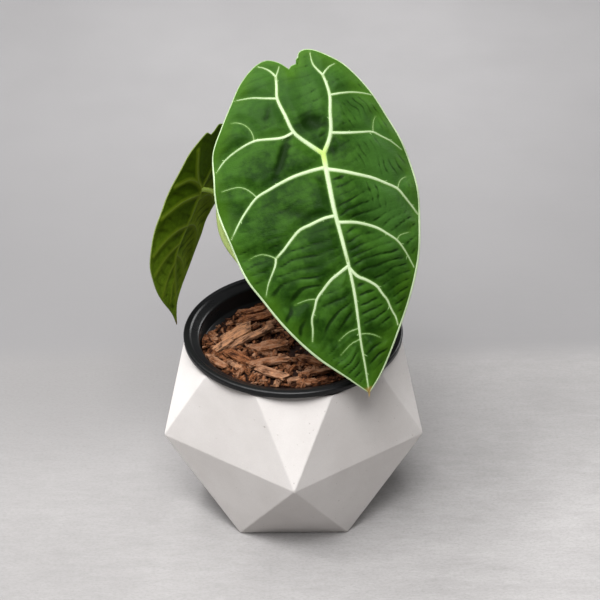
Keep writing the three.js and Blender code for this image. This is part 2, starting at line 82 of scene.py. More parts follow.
mm = 0.001  # every length below is in millimetres until it becomes a mesh


# small helpers for node trees

class Wire:
    # an output socket that can stand in a sum
    def __init__(self, sheet, socket):
        self.sheet = sheet
        self.socket = socket

    def __getitem__(self, name):
        return Wire(self.sheet, self.sheet.pick(self.socket.node.outputs, name))

    def __add__(self, other):
        return self.sheet.maths("ADD", self, other)

    def __radd__(self, other):
        return self.sheet.maths("ADD", other, self)

    def __sub__(self, other):
        return self.sheet.maths("SUBTRACT", self, other)

    def __rsub__(self, other):
        return self.sheet.maths("SUBTRACT", other, self)

    def __mul__(self, other):
        return self.sheet.maths("MULTIPLY", self, other)

    def __rmul__(self, other):
        return self.sheet.maths("MULTIPLY", other, self)

    def __truediv__(self, other):
        return self.sheet.maths("DIVIDE", self, other)

    def __rtruediv__(self, other):
        return self.sheet.maths("DIVIDE", other, self)

    def __pow__(self, power):
        return self.sheet.maths("POWER", self, power)

    def __abs__(self):
        return self.sheet.maths("ABSOLUTE", self)

    def __gt__(self, other):
        return self.sheet.maths("GREATER_THAN", self, other)

    def least(self, other):
        return self.sheet.maths("MINIMUM", self, other)

    def most(self, other):
        return self.sheet.maths("MAXIMUM", self, other)


class NodeSheet:
    def __init__(self, tree):
        self.tree = tree
        tree.nodes.clear()

    def pick(self, sockets, name):
        if isinstance(name, int):
            return sockets[name]
        return next(s for s in sockets if s.enabled and s.name == name)

    # settings are set first, then each socket gets a value or a wire
    def add(self, kind, settings=None, values=None, out=None):
        node = self.tree.nodes.new(kind)
        for name, value in (settings or {}).items():
            if name == "stops":
                self.setStops(node.color_ramp, value)
            else:
                setattr(node, name, value)
        for name, value in (values or {}).items():
            socket = self.pick(node.inputs, name)
            for each in value if isinstance(value, list) else [value]:
                if isinstance(each, Wire):
                    self.tree.links.new(each.socket, socket)
                else:
                    socket.default_value = each
        if not node.outputs:
            return None
        first = next((s for s in node.outputs if s.enabled), node.outputs[0])
        return Wire(self, first if out is None else self.pick(node.outputs, out))

    def setStops(self, ramp, stops):
        while len(ramp.elements) < len(stops):
            ramp.elements.new(0.5)
        for element, (place, color) in zip(ramp.elements, stops):
            element.position = place
            element.color = color

    def maths(self, operation, *values):
        return self.add("ShaderNodeMath", {"operation": operation}, dict(enumerate(values)))

    def noise(self, vector, scale, detail, roughness, distortion=0.0):
        values = {"Vector": vector, "Scale": scale, "Detail": detail,
                  "Roughness": roughness, "Distortion": distortion}
        return self.add("ShaderNodeTexNoise", None, values)

    def between(self, value, low, high, start=0.0, end=1.0):
        values = {"Value": value, "From Min": low, "From Max": high, "To Min": start, "To Max": end}
        return self.add("ShaderNodeMapRange", {"interpolation_type": "SMOOTHSTEP"}, values)

    def tint(self, share, low, high):
        values = {"Factor": share, "A": low, "B": high}
        return self.add("ShaderNodeMix", {"data_type": "RGBA"}, values)

    # lays colours of a look over a first one, each as far as its share says
    def coats(self, color, look, *coats):
        for name, share in coats:
            color = self.tint(share, color, look[name])
        return color

    def stretch(self, vector, scale, turn=(0, 0, 0)):
        return self.add("ShaderNodeMapping", None, {"Vector": vector, "Scale": scale, "Rotation": turn})

    def attribute(self, name, out="Fac"):
        return self.add("ShaderNodeAttribute", {"attribute_name": name}, out=out)

    def place(self):
        return self.add("ShaderNodeTexCoord", out="Object")

    def apart(self, vector):
        parts = self.add("ShaderNodeSeparateXYZ", None, {"Vector": vector})
        return parts["X"], parts["Y"], parts["Z"]

    def together(self, x=0.0, y=0.0, z=0.0):
        return self.add("ShaderNodeCombineXYZ", None, {"X": x, "Y": y, "Z": z})


def newFinish(name):
    material = bpy.data.materials.new(name)
    material.use_nodes = True
    sheet = NodeSheet(material.node_tree)
    sheet.material = material
    return sheet


# the shader itself: what varies comes in by wire, the rest is set on its own sockets
def closeFinish(sheet, color, rough, height, reliefDepth, reliefShare, gloss):
    relief = {"Strength": reliefShare, "Distance": reliefDepth * mm, "Height": height}
    normal = sheet.add("ShaderNodeBump", None, relief)
    shader = sheet.add("ShaderNodeBsdfPrincipled", None, {
        "Base Color": color, "Roughness": rough, "Normal": normal, "Specular IOR Level": gloss})
    sheet.add("ShaderNodeOutputMaterial", None, {"Surface": shader})
    return sheet.material


# small helpers for meshes

def softStep(value, low, high):
    t = np.clip((value - low) / (high - low), 0, 1)
    return t * t * (3 - 2 * t)


# a rounded line through the points, evenly spaced along its length
def roundedLine(points, count):
    p = np.array(points, float)
    p = np.vstack([2 * p[0] - p[1], p, 2 * p[-1] - p[-2]])
    t = np.linspace(0, 1, 32, endpoint=False)[:, None]
    fine = []
    for a, b, c, d in zip(p, p[1:], p[2:], p[3:]):
        ta, tb, tc = (max(np.linalg.norm(v - u), 1e-6) ** 0.5 for u, v in ((a, b), (b, c), (c, d)))
        leave = ((b - a) / ta - (c - a) / (ta + tb) + (c - b) / tb) * tb
        arrive = ((c - b) / tb - (d - b) / (tb + tc) + (d - c) / tc) * tb
        bend = -3 * b + 3 * c - 2 * leave - arrive
        twist = 2 * b - 2 * c + leave + arrive
        fine.append(b + leave * t + bend * t**2 + twist * t**3)
    fine = np.vstack(fine + [p[-2:-1]])
    walked = np.concatenate([[0], np.cumsum(np.linalg.norm(np.diff(fine, axis=0), axis=1))])
    even = np.linspace(0, walked[-1], count + 1)
    return np.column_stack([np.interp(even, walked, column) for column in fine.T])


def linePieces(points, step):
    p = np.array(points, float)
    return max(4, round(float(np.linalg.norm(np.diff(p, axis=0), axis=1).sum()) / step))


def newObject(name, points, edges=(), faces=()):
    mesh = bpy.data.meshes.new(name)
    mesh.from_pydata((np.array(points, float) * mm).tolist(), list(edges), list(faces))
    piece = bpy.data.objects.new(name, mesh)
    bpy.context.scene.collection.objects.link(piece)
    return piece


def storeValues(mesh, name, kind, values):
    layer = mesh.attributes.new(name, kind, "POINT")
    key = "vector" if kind == "FLOAT_VECTOR" else "value"
    layer.data.foreach_set(key, np.array(values, np.float32).ravel())


# merges corners that meet and turns all faces outwards
def tidyMesh(piece, reach=0.002):
    bm = bmesh.new()
    bm.from_mesh(piece.data)
    bmesh.ops.remove_doubles(bm, verts=bm.verts, dist=reach * mm)
    bmesh.ops.recalc_face_normals(bm, faces=bm.faces)
    bm.to_mesh(piece.data)
    bm.free()


# the faces between pairs of rings, each ring with the same count of corners
def ringFaces(pairs, corners):
    faces = []
    for i, j in pairs:
        for k in range(corners):
            m = (k + 1) % corners
            faces.append([i * corners + k, i * corners + m, j * corners + m, j * corners + k])
    return faces


# a closed profile of radius and height turned round the upright line
def turned(name, profile, sides, place=np.array):
    angle = np.arange(sides) * 2 * math.pi / sides
    points = [[r * math.cos(a), r * math.sin(a), z] for r, z in profile for a in angle]
    pairs = [(i, (i + 1) % len(profile)) for i in range(len(profile))]
    pairs = [(i, j) for i, j in pairs if profile[i][0] or profile[j][0]]
    piece = newObject(name, place(points), faces=ringFaces(pairs, sides))
    tidyMesh(piece)
    return piece


# puts the result of the modifiers in place of the object's own mesh
def settle(piece):
    bpy.context.view_layer.update()
    graph = bpy.context.evaluated_depsgraph_get()
    mesh = bpy.data.meshes.new_from_object(
        piece.evaluated_get(graph), preserve_all_data_layers=True, depsgraph=graph)
    piece.modifiers.clear()
    piece.data = mesh
    mesh.name = piece.name


# takes the cutters out of a piece and throws them away
def cutOut(piece, cutters):
    for cutter in cutters:
        cut = piece.modifiers.new("cut", "BOOLEAN")
        cut.object = cutter
        cut.solver = "EXACT"
    settle(piece)
    for cutter in cutters:
        bpy.data.objects.remove(cutter)


def dress(piece, material):
    piece.data.materials.clear()
    piece.data.materials.append(material)


def standFor(piece, node, slotName):
    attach(piece, "root")
    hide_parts(node)
    print(piece.name, "faces:", len(piece.data.polygons))


# a Geometry Nodes tree with an input for each named value; build gets its sheet and its inputs
def newTree(name, values, build):
    tree = bpy.data.node_groups.new(name, "GeometryNodeTree")
    for way in ("INPUT", "OUTPUT"):
        tree.interface.new_socket("Geometry", in_out=way, socket_type="NodeSocketGeometry")
    for label, value in values.items():
        kind = type(value).__name__.capitalize()  # Float, Int, Material or Collection
        tree.interface.new_socket(label, in_out="INPUT", socket_type="NodeSocket" + kind)
    sheet = NodeSheet(tree)
    given = sheet.add("NodeGroupInput")
    real = sheet.add("GeometryNodeRealizeInstances", None, {"Geometry": build(sheet, given)})
    painted = sheet.add("GeometryNodeSetMaterial", None, {"Geometry": real, "Material": given["Finish"]})
    sheet.add("NodeGroupOutput", None, {"Geometry": painted})
    return tree


# the tree is made when its first piece needs it
def growOn(piece, treeName, build, values):
    tree = bpy.data.node_groups.get(treeName) or newTree(treeName, values, build)
    modifier = piece.modifiers.new(treeName, "NODES")
    modifier.node_group = tree
    for item in tree.interface.items_tree:
        if item.name in values:
            modifier[item.identifier] = values[item.name]
    settle(piece)


def readValue(sheet, name, kind="FLOAT"):
    return sheet.add("GeometryNodeInputNamedAttribute", {"data_type": kind}, {"Name": name})


def keepValue(sheet, shape, name, value, domain="POINT"):
    return sheet.add("GeometryNodeStoreNamedAttribute", {"data_type": "FLOAT", "domain": domain},
                     {"Geometry": shape, "Name": name, "Value": value})


# a line of corners as a curve with even steps, and a ring for its section
def lineAndRing(sheet, given):
    line = sheet.add("GeometryNodeMeshToCurve", None, {"Mesh": given["Geometry"]})
    line = sheet.add("GeometryNodeResampleCurve", {"mode": "LENGTH"},
                     {"Curve": line, "Length": given["Step"]})
    ring = sheet.add("GeometryNodeCurvePrimitiveCircle", None,
                     {"Resolution": given["Sides"], "Radius": 1.0})
    return line, ring


# the ring drawn along the line, as wide as the line says
def drawAlong(sheet, line, ring):
    return sheet.add("GeometryNodeCurveToMesh", None, {
        "Curve": line, "Profile Curve": ring, "Scale": readValue(sheet, "halfWidth"), "Fill Caps": True})


def smoothShade(sheet, shape, smooth=True):
    return sheet.add("GeometryNodeSetShadeSmooth", None, {"Geometry": shape, "Shade Smooth": smooth})


# planter: five-sided, cast in one piece, with a round well for the nursery pot

planterLook = {
    "sides": 5,
    "height": 104.2,
    "baseRadius": 50.9,
    "waistRadius": 75.0,
    "waistHeight": 55.2,
    "crownRadius": 54.6,  # the corners of the upper ring stand above the level cut
    "crownHeight": 133.3,
    "wellFloor": 9.0,
    "wellFloorRadius": 42.5,
    "wellRound": 3.0,
    "wellSides": 128,
    "mouthRadius": 53.6,
    "edgeRound": 0.6,
    "paste": (0.548, 0.520, 0.503, 1),
    "paleCloud": (0.612, 0.585, 0.569, 1),
    "grit": (0.42, 0.39, 0.37, 1),
    "pinhole": (0.30, 0.27, 0.25, 1),
    # pinholes: cells in a metre, the share of cells without one, and their width
    "pinholes": [(200, 0.86, 0.11), (480, 0.78, 0.16)],
    "relief": 0.25,
    "gloss": 0.35,
}


def concreteFinish(look):
    sheet = newFinish("castConcrete")
    place = sheet.place()
    clouds = sheet.noise(place, 26, 6, 0.6)
    grit = sheet.noise(place, 1500, 3, 0.7)
    pits = 0.0
    for scale, without, size in look["pinholes"]:
        cells = sheet.add("ShaderNodeTexVoronoi", None, {"Vector": place, "Scale": scale})
        chance = sheet.add("ShaderNodeSeparateColor", None, {"Color": cells["Color"]})
        width = chance["Green"] * size + 0.05
        hole = sheet.between(cells["Distance"] / width, 1.0, 0.45) * (chance["Red"] > without)
        pits = hole.most(pits)
    color = sheet.coats(
        look["paste"], look,
        ("paleCloud", sheet.between(clouds, 0.3, 0.7)),
        ("grit", sheet.between(grit, 0.3, 0.7, 0.0, 0.16)),
        ("pinhole", pits * 0.6))
    height = sheet.noise(place, 420, 5, 0.6) * 0.35 + grit * 0.2 - pits
    rough = sheet.between(clouds, 0.2, 0.8, 0.78, 0.92)
    return closeFinish(sheet, color, rough, height, look["relief"], 0.8, look["gloss"])


def makePlanter(look):
    n = look["sides"]

    def corner(radius, height, turn):
        a = (turn * 2 / n - 0.5) * math.pi
        return np.array([radius * math.cos(a), radius * math.sin(a), height])

    cut = (look["height"] - look["waistHeight"]) / (look["crownHeight"] - look["waistHeight"])
    points = []
    for k in range(n):
        waist = corner(look["waistRadius"], look["waistHeight"], k)
        crowns = [corner(look["crownRadius"], look["crownHeight"], k + half) for half in (-0.5, 0.5)]
        points += [corner(look["baseRadius"], 0, k + 0.5), waist]
        points += [waist + (crown - waist) * cut for crown in crowns]
    base, waist, left, right = ([4 * (k % n) + i for k in range(n + 1)] for i in range(4))
    faces = [base[:n][::-1], [v for k in range(n) for v in (left[k], right[k])]]
    for k in range(n):
        faces += [[base[k - 1 if k else n - 1], base[k], waist[k]], [base[k], waist[k + 1], waist[k]],
                  [waist[k], right[k], left[k]], [waist[k], waist[k + 1], left[k + 1], right[k]]]
    planter = newObject("planter_cast", points, faces=faces)
    tidyMesh(planter)
    rounding = planter.modifiers.new("softEdges", "BEVEL")
    rounding.width = look["edgeRound"] * mm
    rounding.segments = 3
    rounding.limit_method = "ANGLE"
    rounding.angle_limit = math.radians(10)
    # the well widens a little at its lip and goes on above the planter, so that it cuts clean
    height, floor, lip = look["height"], look["wellFloor"], look["mouthRadius"] + 0.9
    profile = [(0, floor), (look["wellFloorRadius"] - look["wellRound"], floor),
               (look["wellFloorRadius"], floor + look["wellRound"]),
               (look["mouthRadius"] - 0.2, height - 1.2),
               (lip, height + 0.1), (lip, height + 6), (0, height + 6)]
    cutOut(planter, [turned("well", profile, look["wellSides"])])
    dress(planter, concreteFinish(look))
    standFor(planter, "planter", "concrete")


# nursery pot: thin black plastic, hung by its rim, a little askew

potLook = {
    "rimHeight": 109.0,
    "tilt": math.radians(-1.1),
    "sides": 144,
    "depth": 94.0,
    "drainHoles": 6,
    "drainRadius": 3.5,
    "drainRing": 25.0,
    "plastic": (0.0065, 0.0068, 0.0072, 1),
    "dusty": (0.040, 0.034, 0.029, 1),
    "relief": 0.06,
    "gloss": 0.17,
}

# radius, height under the rim's top, and how round that corner is
potProfile = [
    (0, -92.2, 0), (37.4, -92.2, 2.0), (48.0, -12.4, 0.5), (50.6, -11.4, 0.5),
    (51.4, -2.6, 1.2), (55.9, -0.9, 0.5), (56.7, -0.1, 0.5), (59.2, 0, 0.3), (60.0, -0.8, 0.45),
    (59.8, -3.3, 0.3), (58.6, -3.3, 0.3), (58.3, -1.6, 0.3), (56.2, -1.7, 0.3),
    (52.6, -3.1, 0.8), (51.8, -12.2, 0.4), (49.4, -13.6, 0.6), (38.8, -93.4, 0.3),
    (37.6, -94.0, 0.2), (0, -94.0, 0),
]


# from the pot's own upright place, heights down from its rim, to its place in the planter
def potPlace(points):
    c, s = math.cos(potLook["tilt"]), math.sin(potLook["tilt"])
    x, y, z = np.array(points, float).T
    return np.column_stack([c * x + s * z, y, c * z - s * x + potLook["rimHeight"]])


def roundCorners(profile, steps=4):
    line = []
    for i, (r, z, size) in enumerate(profile):
        here = np.array([r, z])
        if size == 0:
            line.append((r, z))
            continue
        before = np.array(profile[i - 1][:2]) - here
        after = np.array(profile[i + 1][:2]) - here
        reach = min(size, 0.45 * np.linalg.norm(before), 0.45 * np.linalg.norm(after))
        start = here + before / np.linalg.norm(before) * reach
        end = here + after / np.linalg.norm(after) * reach
        for t in np.linspace(0, 1, steps + 1):
            line.append(tuple((1 - t) ** 2 * start + 2 * t * (1 - t) * here + t * t * end))
    return line


def plasticFinish(look):
    sheet = newFinish("blackPlastic")
    place = sheet.place()
    wear = sheet.noise(place, 60, 5, 0.65)
    dust = sheet.noise(place, 900, 2, 0.6)
    settled = sheet.between(dust, 0.62, 0.78) * sheet.between(wear, 0.45, 0.7, 0.0, 0.5)
    color = sheet.tint(settled, look["plastic"], look["dusty"])
    rough = sheet.between(wear, 0.25, 0.75, 0.26, 0.34) + settled * 0.3
    height = sheet.noise(place, 2200, 2, 0.5) * 0.4 + wear * 0.6
    return closeFinish(sheet, color, rough, height, look["relief"], 0.5, look["gloss"])


def makeNurseryPot(look):
    pot = turned("nursery_pot_shell", roundCorners(potProfile), look["sides"], potPlace)
    low, high, radius = -look["depth"] - 3, -look["depth"] + 4, look["drainRadius"]
    drills = []
    for k in range(look["drainHoles"]):
        a = 2 * math.pi * k / look["drainHoles"]
        shift = np.array([math.cos(a), math.sin(a), 0]) * look["drainRing"]
        drills.append(turned("drill", [(0, low), (radius, low), (radius, high), (0, high)], 24,
                             lambda points, shift=shift: potPlace(np.array(points) + shift)))
    cutOut(pot, drills)
    pot.data.shade_smooth()
    pot.data.set_sharp_from_angle(angle=math.radians(40))
    dress(pot, plasticFinish(look))
    standFor(pot, "nursery_pot", "black_plastic")


# bark mix: a bed of crumbs with seeded chips lying on it

barkLook = {
    "level": -8.0,  # heights are counted from the pot's rim
    "slope": -0.10,
    "dome": 1.6,
    "domeRadius": 50,
    "bedDrop": 1.6,
    "bedLumps": [(5, 1.1, 3), (2.2, 0.6, 9)],  # size, height and seed
    "bedSides": 112,
    "bedRings": [0, 4, 8, 12, 16, 20, 24, 28, 32, 36, 40, 43, 45.5, 47],
    "wellRadius": 47.5,
    "ledgeRadius": 50.1,
    "overLedge": (-11.0, -10.2),  # bark that stands this high reaches over the ledge
    "wallTop": (47.3, -13.6),
    "wallFoot": (36.8, -91.4),
    "ledgeHeights": (-13.4, -11.0),  # under and over these, chips keep within the radii below
    "wallRadii": (47.2, 49.9),
    "stems": [(9.1, 6.3, 4.3), (1.0, 12.8, 4.6)],  # x, y and the radius that chips keep from
    "seed": 17,
    # chips in stock: how many, and their ranges of length, width and thickness
    "slabs": [(6, (11, 15), (4.6, 7.0), (3.0, 4.4)), (4, (7, 10), (5, 8), (2.8, 4.2))],
    "crumbs": [(10, (3.0, 5.6), (1.5, 3.0), (1.1, 2.0))],
    # how the stock is scattered
    "Crumb": {"Spacing": 1.5, "Lift": 1.0, "Density": 160000.0, "Smallest": 0.5, "Largest": 1.35,
              "Brightest": 0.66},
    "Slab": {"Spacing": 5.4, "Lift": 1.5, "Density": 40000.0, "Smallest": 0.4, "Largest": 0.85,
             "Brightest": 0.80},
    # the least and the most that a chip is turned by, crumbs first
    "turns": [((-0.9, -0.9, -3.1), (0.9, 0.9, 3.1)), ((-0.5, -0.4, -1.1), (0.5, 0.4, 1.5))],
    # chips laid one by one on the top: x, y, heading, tilt in degrees, length, width, thickness, tone
    "topChips": [
        (-31, 5.5, 35, 12, 18, 9.5, 3.6, 0.90),
        (-24, 0.5, 37, 9, 28, 5.4, 3.4, 0.74),
        (-38.5, -7, 49, 6, 12, 6.0, 3.2, 0.80),
        (-13.5, -10.5, 19, 4, 19, 9.0, 4.6, 0.56),
        (-13, -26.5, 16, 3, 21, 6.2, 3.6, 0.60),
        (-21, 23.5, 20, 5, 19, 6.0, 3.0, 0.42),
        (-22, 33, 27, 4, 12, 5.0, 2.6, 0.40),
        (-40.5, -25, -47, 3, 14, 5.0, 2.4, 0.55),
        (-12, -37.5, -34, 5, 20, 7.5, 2.6, 0.66),
        (12, -38, 13, 4, 16, 4.4, 2.6, 0.62),
        (10, -26, -36, 5, 16, 5.6, 2.8, 0.50),
        (-30, -20, -37, -4, 16, 7.0, 2.8, 0.35),
        (24, -30, 38, 4, 17, 5.6, 2.8, 0.48),
        (33, -12, 72, 5, 18, 6.4, 3.0, 0.60),
        (30, 18, -50, 6, 19, 5.4, 2.8, 0.45),
        (12, 34, -12, 5, 20, 6.0, 3.0, 0.66),
    ],
    "topLift": 1.7,
    "deep": (0.008, 0.0022, 0.0009, 1),
    "brown": (0.075, 0.025, 0.009, 1),
    "russet": (0.185, 0.070, 0.028, 1),
    "grey": (0.205, 0.112, 0.068, 1),
    "fresh": (0.350, 0.170, 0.085, 1),
    "stops": {"deep": 0.0, "brown": 0.25, "russet": 0.5, "grey": 0.72, "fresh": 0.95},
    "relief": 0.8,
    "gloss": 0.12,
}


def barkHeight(look, x, y):
    out = (x * x + y * y) / look["domeRadius"] ** 2
    return look["level"] + look["slope"] * y + look["dome"] * (1 - out)


def barkFinish(look):
    sheet = newFinish("barkChips")
    place = sheet.place()
    tone, grain = sheet.attribute("chipTone"), sheet.attribute("chipGrain", "Vector")
    fibre = sheet.noise(sheet.stretch(grain, (160, 900, 900)), 1.0, 5, 0.7, 0.6)
    flakes = sheet.noise(place, 320, 5, 0.65)
    crust = sheet.noise(place, 1300, 4, 0.7)
    # each chip's own tone, broken up by flakes, fibres and crust, picks its colour
    fibres = sheet.between(fibre, 0.35, 0.65, -0.16, 0.16)
    own = tone + (flakes - 0.5) * 0.9 + fibres + (crust - 0.5) * 0.6
    stops = [(spot, look[name]) for name, spot in look["stops"].items()]
    color = sheet.add("ShaderNodeValToRGB", {"stops": stops}, {"Fac": own})
    cracks = sheet.between(fibre, 0.48, 0.34)
    # what lies deep between the chips is painted dark: painted shade in the gaps
    x, y, z = (axis / mm for axis in sheet.apart(place))
    level = barkHeight(look, x, y) + x * math.sin(-potLook["tilt"]) + potLook["rimHeight"]
    gapShade = sheet.between(z - level + (flakes - 0.5) * 1.6, 0.2, -2.2)
    color = sheet.coats(color, look, ("deep", cracks * 0.85), ("deep", gapShade * 0.92))
    rough = sheet.between(fibre, 0.2, 0.8, 0.7, 0.95)
    height = fibre * 0.8 + flakes * 0.6 + crust * 0.3 - cracks * 0.5
    return closeFinish(sheet, color, rough, height, look["relief"], 1.0, look["gloss"])


# a split chip: uneven flat rings lofted along its length, both ends broken off at a slant
def makeChip(name, rng, length, wide, thick, rings=6, corners=7):
    slant = rng.uniform(-0.12, 0.12)
    breaks = rng.uniform(-0.7, 0.7), rng.uniform(-0.7, 0.7)
    turns = [2 * math.pi * (c + rng.uniform(-0.3, 0.3)) / corners for c in range(corners)]
    points = []
    for r in range(rings):
        t = r / (rings - 1)
        swell = 0.76 + 0.24 * math.sin(math.pi * t) * rng.uniform(0.6, 1.3)
        bow, sway = rng.uniform(-0.1, 0.1) * thick, rng.uniform(-0.05, 0.05) * wide
        for turn in turns:
            u, v = math.cos(turn), math.sin(turn)
            ragged = rng.uniform(-0.05, 0.05) if r in (0, rings - 1) else rng.uniform(-0.03, 0.03)
            y = math.copysign(abs(u) ** 0.6, u) * wide / 2 * swell * rng.uniform(0.8, 1.12) + sway
            z = math.copysign(abs(v) ** 0.5, v) * thick / 2 * swell * rng.uniform(0.72, 1.15)
            x = (t - 0.5 + ragged) * length + (breaks[0] * (1 - t) + breaks[1] * t) * y
            points.append([x, y + slant * x, z + bow])
    faces = ringFaces([(r, r + 1) for r in range(rings - 1)], corners)
    faces.append(list(range(corners))[::-1])
    faces.append([(rings - 1) * corners + c for c in range(corners)])
    chip = newObject(name, points, faces=faces)
    tidyMesh(chip)
    storeValues(chip.data, "chipGrain", "FLOAT_VECTOR", [v.co for v in chip.data.vertices])
    return chip


def buildBark(sheet, given):
    bed = given["Geometry"]
    upward = sheet.apart(sheet.add("GeometryNodeInputNormal"))[2]
    laid = sheet.add("GeometryNodeCollectionInfo", None, {"Collection": given["Top Chips"]})
    layers = [bed, sheet.add("GeometryNodeRealizeInstances", None, {"Geometry": laid})]
    for layer, name in enumerate(("Crumb", "Slab")):

        # a random value for each chip, each from a seed of its own
        def roll(kind, least, most, step, layer=layer):
            return sheet.add("FunctionNodeRandomValue", {"data_type": kind},
                             {"Min": least, "Max": most, "Seed": given["Seed"] + step + layer})

        scatter = sheet.add("GeometryNodeDistributePointsOnFaces", {"distribute_method": "POISSON"}, {
            "Mesh": bed, "Selection": upward > 0.5, "Distance Min": given[name + " Spacing"],
            "Density Max": given[name + " Density"], "Seed": given["Seed"] + layer})
        turn = sheet.add("FunctionNodeEulerToRotation", None, {
            "Euler": roll("FLOAT_VECTOR", *barkLook["turns"][layer], 5)})
        stock = sheet.add("GeometryNodeCollectionInfo", None, {
            "Collection": given[name + "s"], "Separate Children": True, "Reset Children": True})
        laid = sheet.add("GeometryNodeInstanceOnPoints", None, {
            "Points": scatter["Points"], "Instance": stock, "Pick Instance": True,
            "Instance Index": roll("INT", 0, 9, 13), "Rotation": turn,
            "Scale": roll("FLOAT", given[name + " Smallest"], given[name + " Largest"], 9)})
        laid = keepValue(sheet, laid, "chipTone", roll("FLOAT", 0.08, given[name + " Brightest"], 21),
                         "INSTANCE")
        lift = sheet.together(z=given[name + " Lift"])
        laid = sheet.add("GeometryNodeTranslateInstances", None, {"Instances": laid, "Translation": lift})
        layers.append(sheet.add("GeometryNodeRealizeInstances", None, {"Geometry": laid}))
    mix = sheet.add("GeometryNodeJoinGeometry", None, {"Geometry": layers[::-1]})
    # chips through the wall, then those against a stem, are pushed back until they clear it
    for stem in (None, *barkLook["stems"]):
        x, y, z = sheet.apart(sheet.add("GeometryNodeInputPosition"))
        middleX, middleY, radius = (v * mm for v in stem or (0, 0, 0))
        dx, dy = x - middleX, y - middleY
        reach = ((dx * dx + dy * dy) ** 0.5).most(0.0001)
        if stem:
            share = (radius / reach).most(1.0)
        else:
            wall = sheet.between(z, given["Ledge Low"], given["Ledge High"],
                                 given["Radius Low"], given["Radius High"])
            share = (wall / reach).least(1.0)
        moved = sheet.together(dx * share + middleX, dy * share + middleY, z)
        mix = sheet.add("GeometryNodeSetPosition", None, {"Geometry": mix, "Position": moved})
    return smoothShade(sheet, mix, False)


# chips of one kind wait in a collection of their own until the tree has used them
def chipBox(name, chips):
    box = bpy.data.collections.new(name)
    bpy.context.scene.collection.children.link(box)
    for chip in chips:
        bpy.context.scene.collection.objects.unlink(chip)
        box.objects.link(chip)
    return box


def makeStock(name, rng, batches, rings=6, corners=7):
    sizes = [batch[1:] for batch in batches for each in range(batch[0])]
    for index, ranges in enumerate(sizes):
        size = [rng.uniform(*each) for each in ranges]
        yield makeChip(f"{name}_{index:02d}", rng, *size, rings, corners)


def makeTopChips(look, rng):
    for index, (x, y, heading, tilt, length, wide, thick, tone) in enumerate(look["topChips"]):
        chip = makeChip(f"top_chip_{index:02d}", rng, length, wide, thick)
        turn = Matrix.Rotation(math.radians(heading), 4, "Z") @ Matrix.Rotation(math.radians(-tilt), 4, "Y")
        height = barkHeight(look, x, y) + look["topLift"]
        spots = [turn @ v.co / mm + Vector((x, y, height)) for v in chip.data.vertices]
        for vertex, spot in zip(chip.data.vertices, potPlace(spots)):
            vertex.co = Vector(spot) * mm
        storeValues(chip.data, "chipTone", "FLOAT", [tone] * len(chip.data.vertices))
        yield chip


# the bed: top rings follow the crumbly surface, the last one reaches over the pot's inner ledge
# where the bark stands above it, then it goes down the wall to the pot's floor
def makeBed(look):
    ledge, well = look["ledgeRadius"], look["wellRadius"]

    def bedTop(x, y):
        lumps = [noise.noise(Vector((x, y, seed)) / size) * height
                 for size, height, seed in look["bedLumps"]]
        return barkHeight(look, x, y) - look["bedDrop"] + sum(lumps)

    sides, columns = look["bedSides"], []
    for k in range(sides):
        across, along = math.cos(2 * math.pi * k / sides), math.sin(2 * math.pi * k / sides)
        column = [(r, bedTop(r * across, r * along)) for r in look["bedRings"]]
        over = float(softStep(bedTop(well * across, well * along), *look["overLedge"]))
        outer = well + (ledge - well) * over
        rise = bedTop(outer * across, outer * along)
        column += [(outer, rise), (outer, min(rise - 0.2, -13.0 + 2.05 * over)),
                   look["wallTop"], look["wallFoot"], (0, look["wallFoot"][1])]
        columns.append([(r * across, r * along, z) for r, z in column])
    rings = len(columns[0])
    points = [column[i] for i in range(rings) for column in columns]
    faces = ringFaces([(i, i + 1) for i in range(rings - 1)], sides)
    bed = newObject("bark_chips", potPlace(points), faces=faces)
    tidyMesh(bed)
    return bed


def makeBark(look):
    rng = random.Random(look["seed"])
    slabs = chipBox("slabStock", makeStock("slab", rng, look["slabs"]))
    crumbs = chipBox("crumbStock", makeStock("crumb", rng, look["crumbs"], rings=3, corners=5))
    top = chipBox("topChips", makeTopChips(look, rng))
    bark = makeBed(look)
    values = {"Slabs": slabs, "Crumbs": crumbs, "Top Chips": top, "Seed": look["seed"],
              "Finish": barkFinish(look)}
    for kind in ("Crumb", "Slab"):
        for name, value in look[kind].items():
            values[f"{kind} {name}"] = value * mm if name in ("Spacing", "Lift") else value
    for end, height, radius in zip(("Low", "High"), look["ledgeHeights"], look["wallRadii"]):
        values["Ledge " + end] = (potLook["rimHeight"] + height) * mm
        values["Radius " + end] = radius * mm
    growOn(bark, "barkChipScatter", buildBark, values)
    for box in (slabs, crumbs, top):
        for chip in list(box.objects):
            bpy.data.objects.remove(chip)
        bpy.data.collections.remove(box)
    standFor(bark, "bark_mix", "bark")


# leaves: x across the blade, y up from the petiole joint, z out of the upper face

def frontRise(x, y):
    arch = np.where(y < 0, 7 * np.sin(-np.pi * y / 126.5), -0.175 * y - 0.001 * y * y)
    droop = np.where(x > 0, -0.0115, -0.0018) * x * x
    dimple = -2.5 * np.exp(-(x * x + y * y) / 196)
    fold = -2.2 * np.exp(-(((x + 3) / 7) ** 2)) * softStep(y, 4, 18)
    reach = np.abs(x) / np.where(x > 0, 46, 59)
    wave = 1.1 * np.sin(2 * np.pi * y / 27 + np.where(x > 0, 1, 3)) * reach**3
    return arch + droop + dimple + fold + wave


# the midrib of the rear leaf bends aside by this much
def rearShift(y):
    return np.where(y < 0, 8.9 * np.sin(-np.pi * y / 79.2), 0)


def rearRise(x, y):
    u = x - rearShift(y)
    arch = np.where(y < 0, 2.8 * np.sin(-np.pi * y / 79.2), -0.078 * y)
    curl = np.where(u > 0, 0.0048, -0.0008) * u * u
    wave = 0.25 * np.sin(2 * np.pi * y / 21 + np.where(u > 0, 0, 2)) * (np.abs(u) / 36) ** 3
    return arch + curl + 0.0021 * u * y + wave


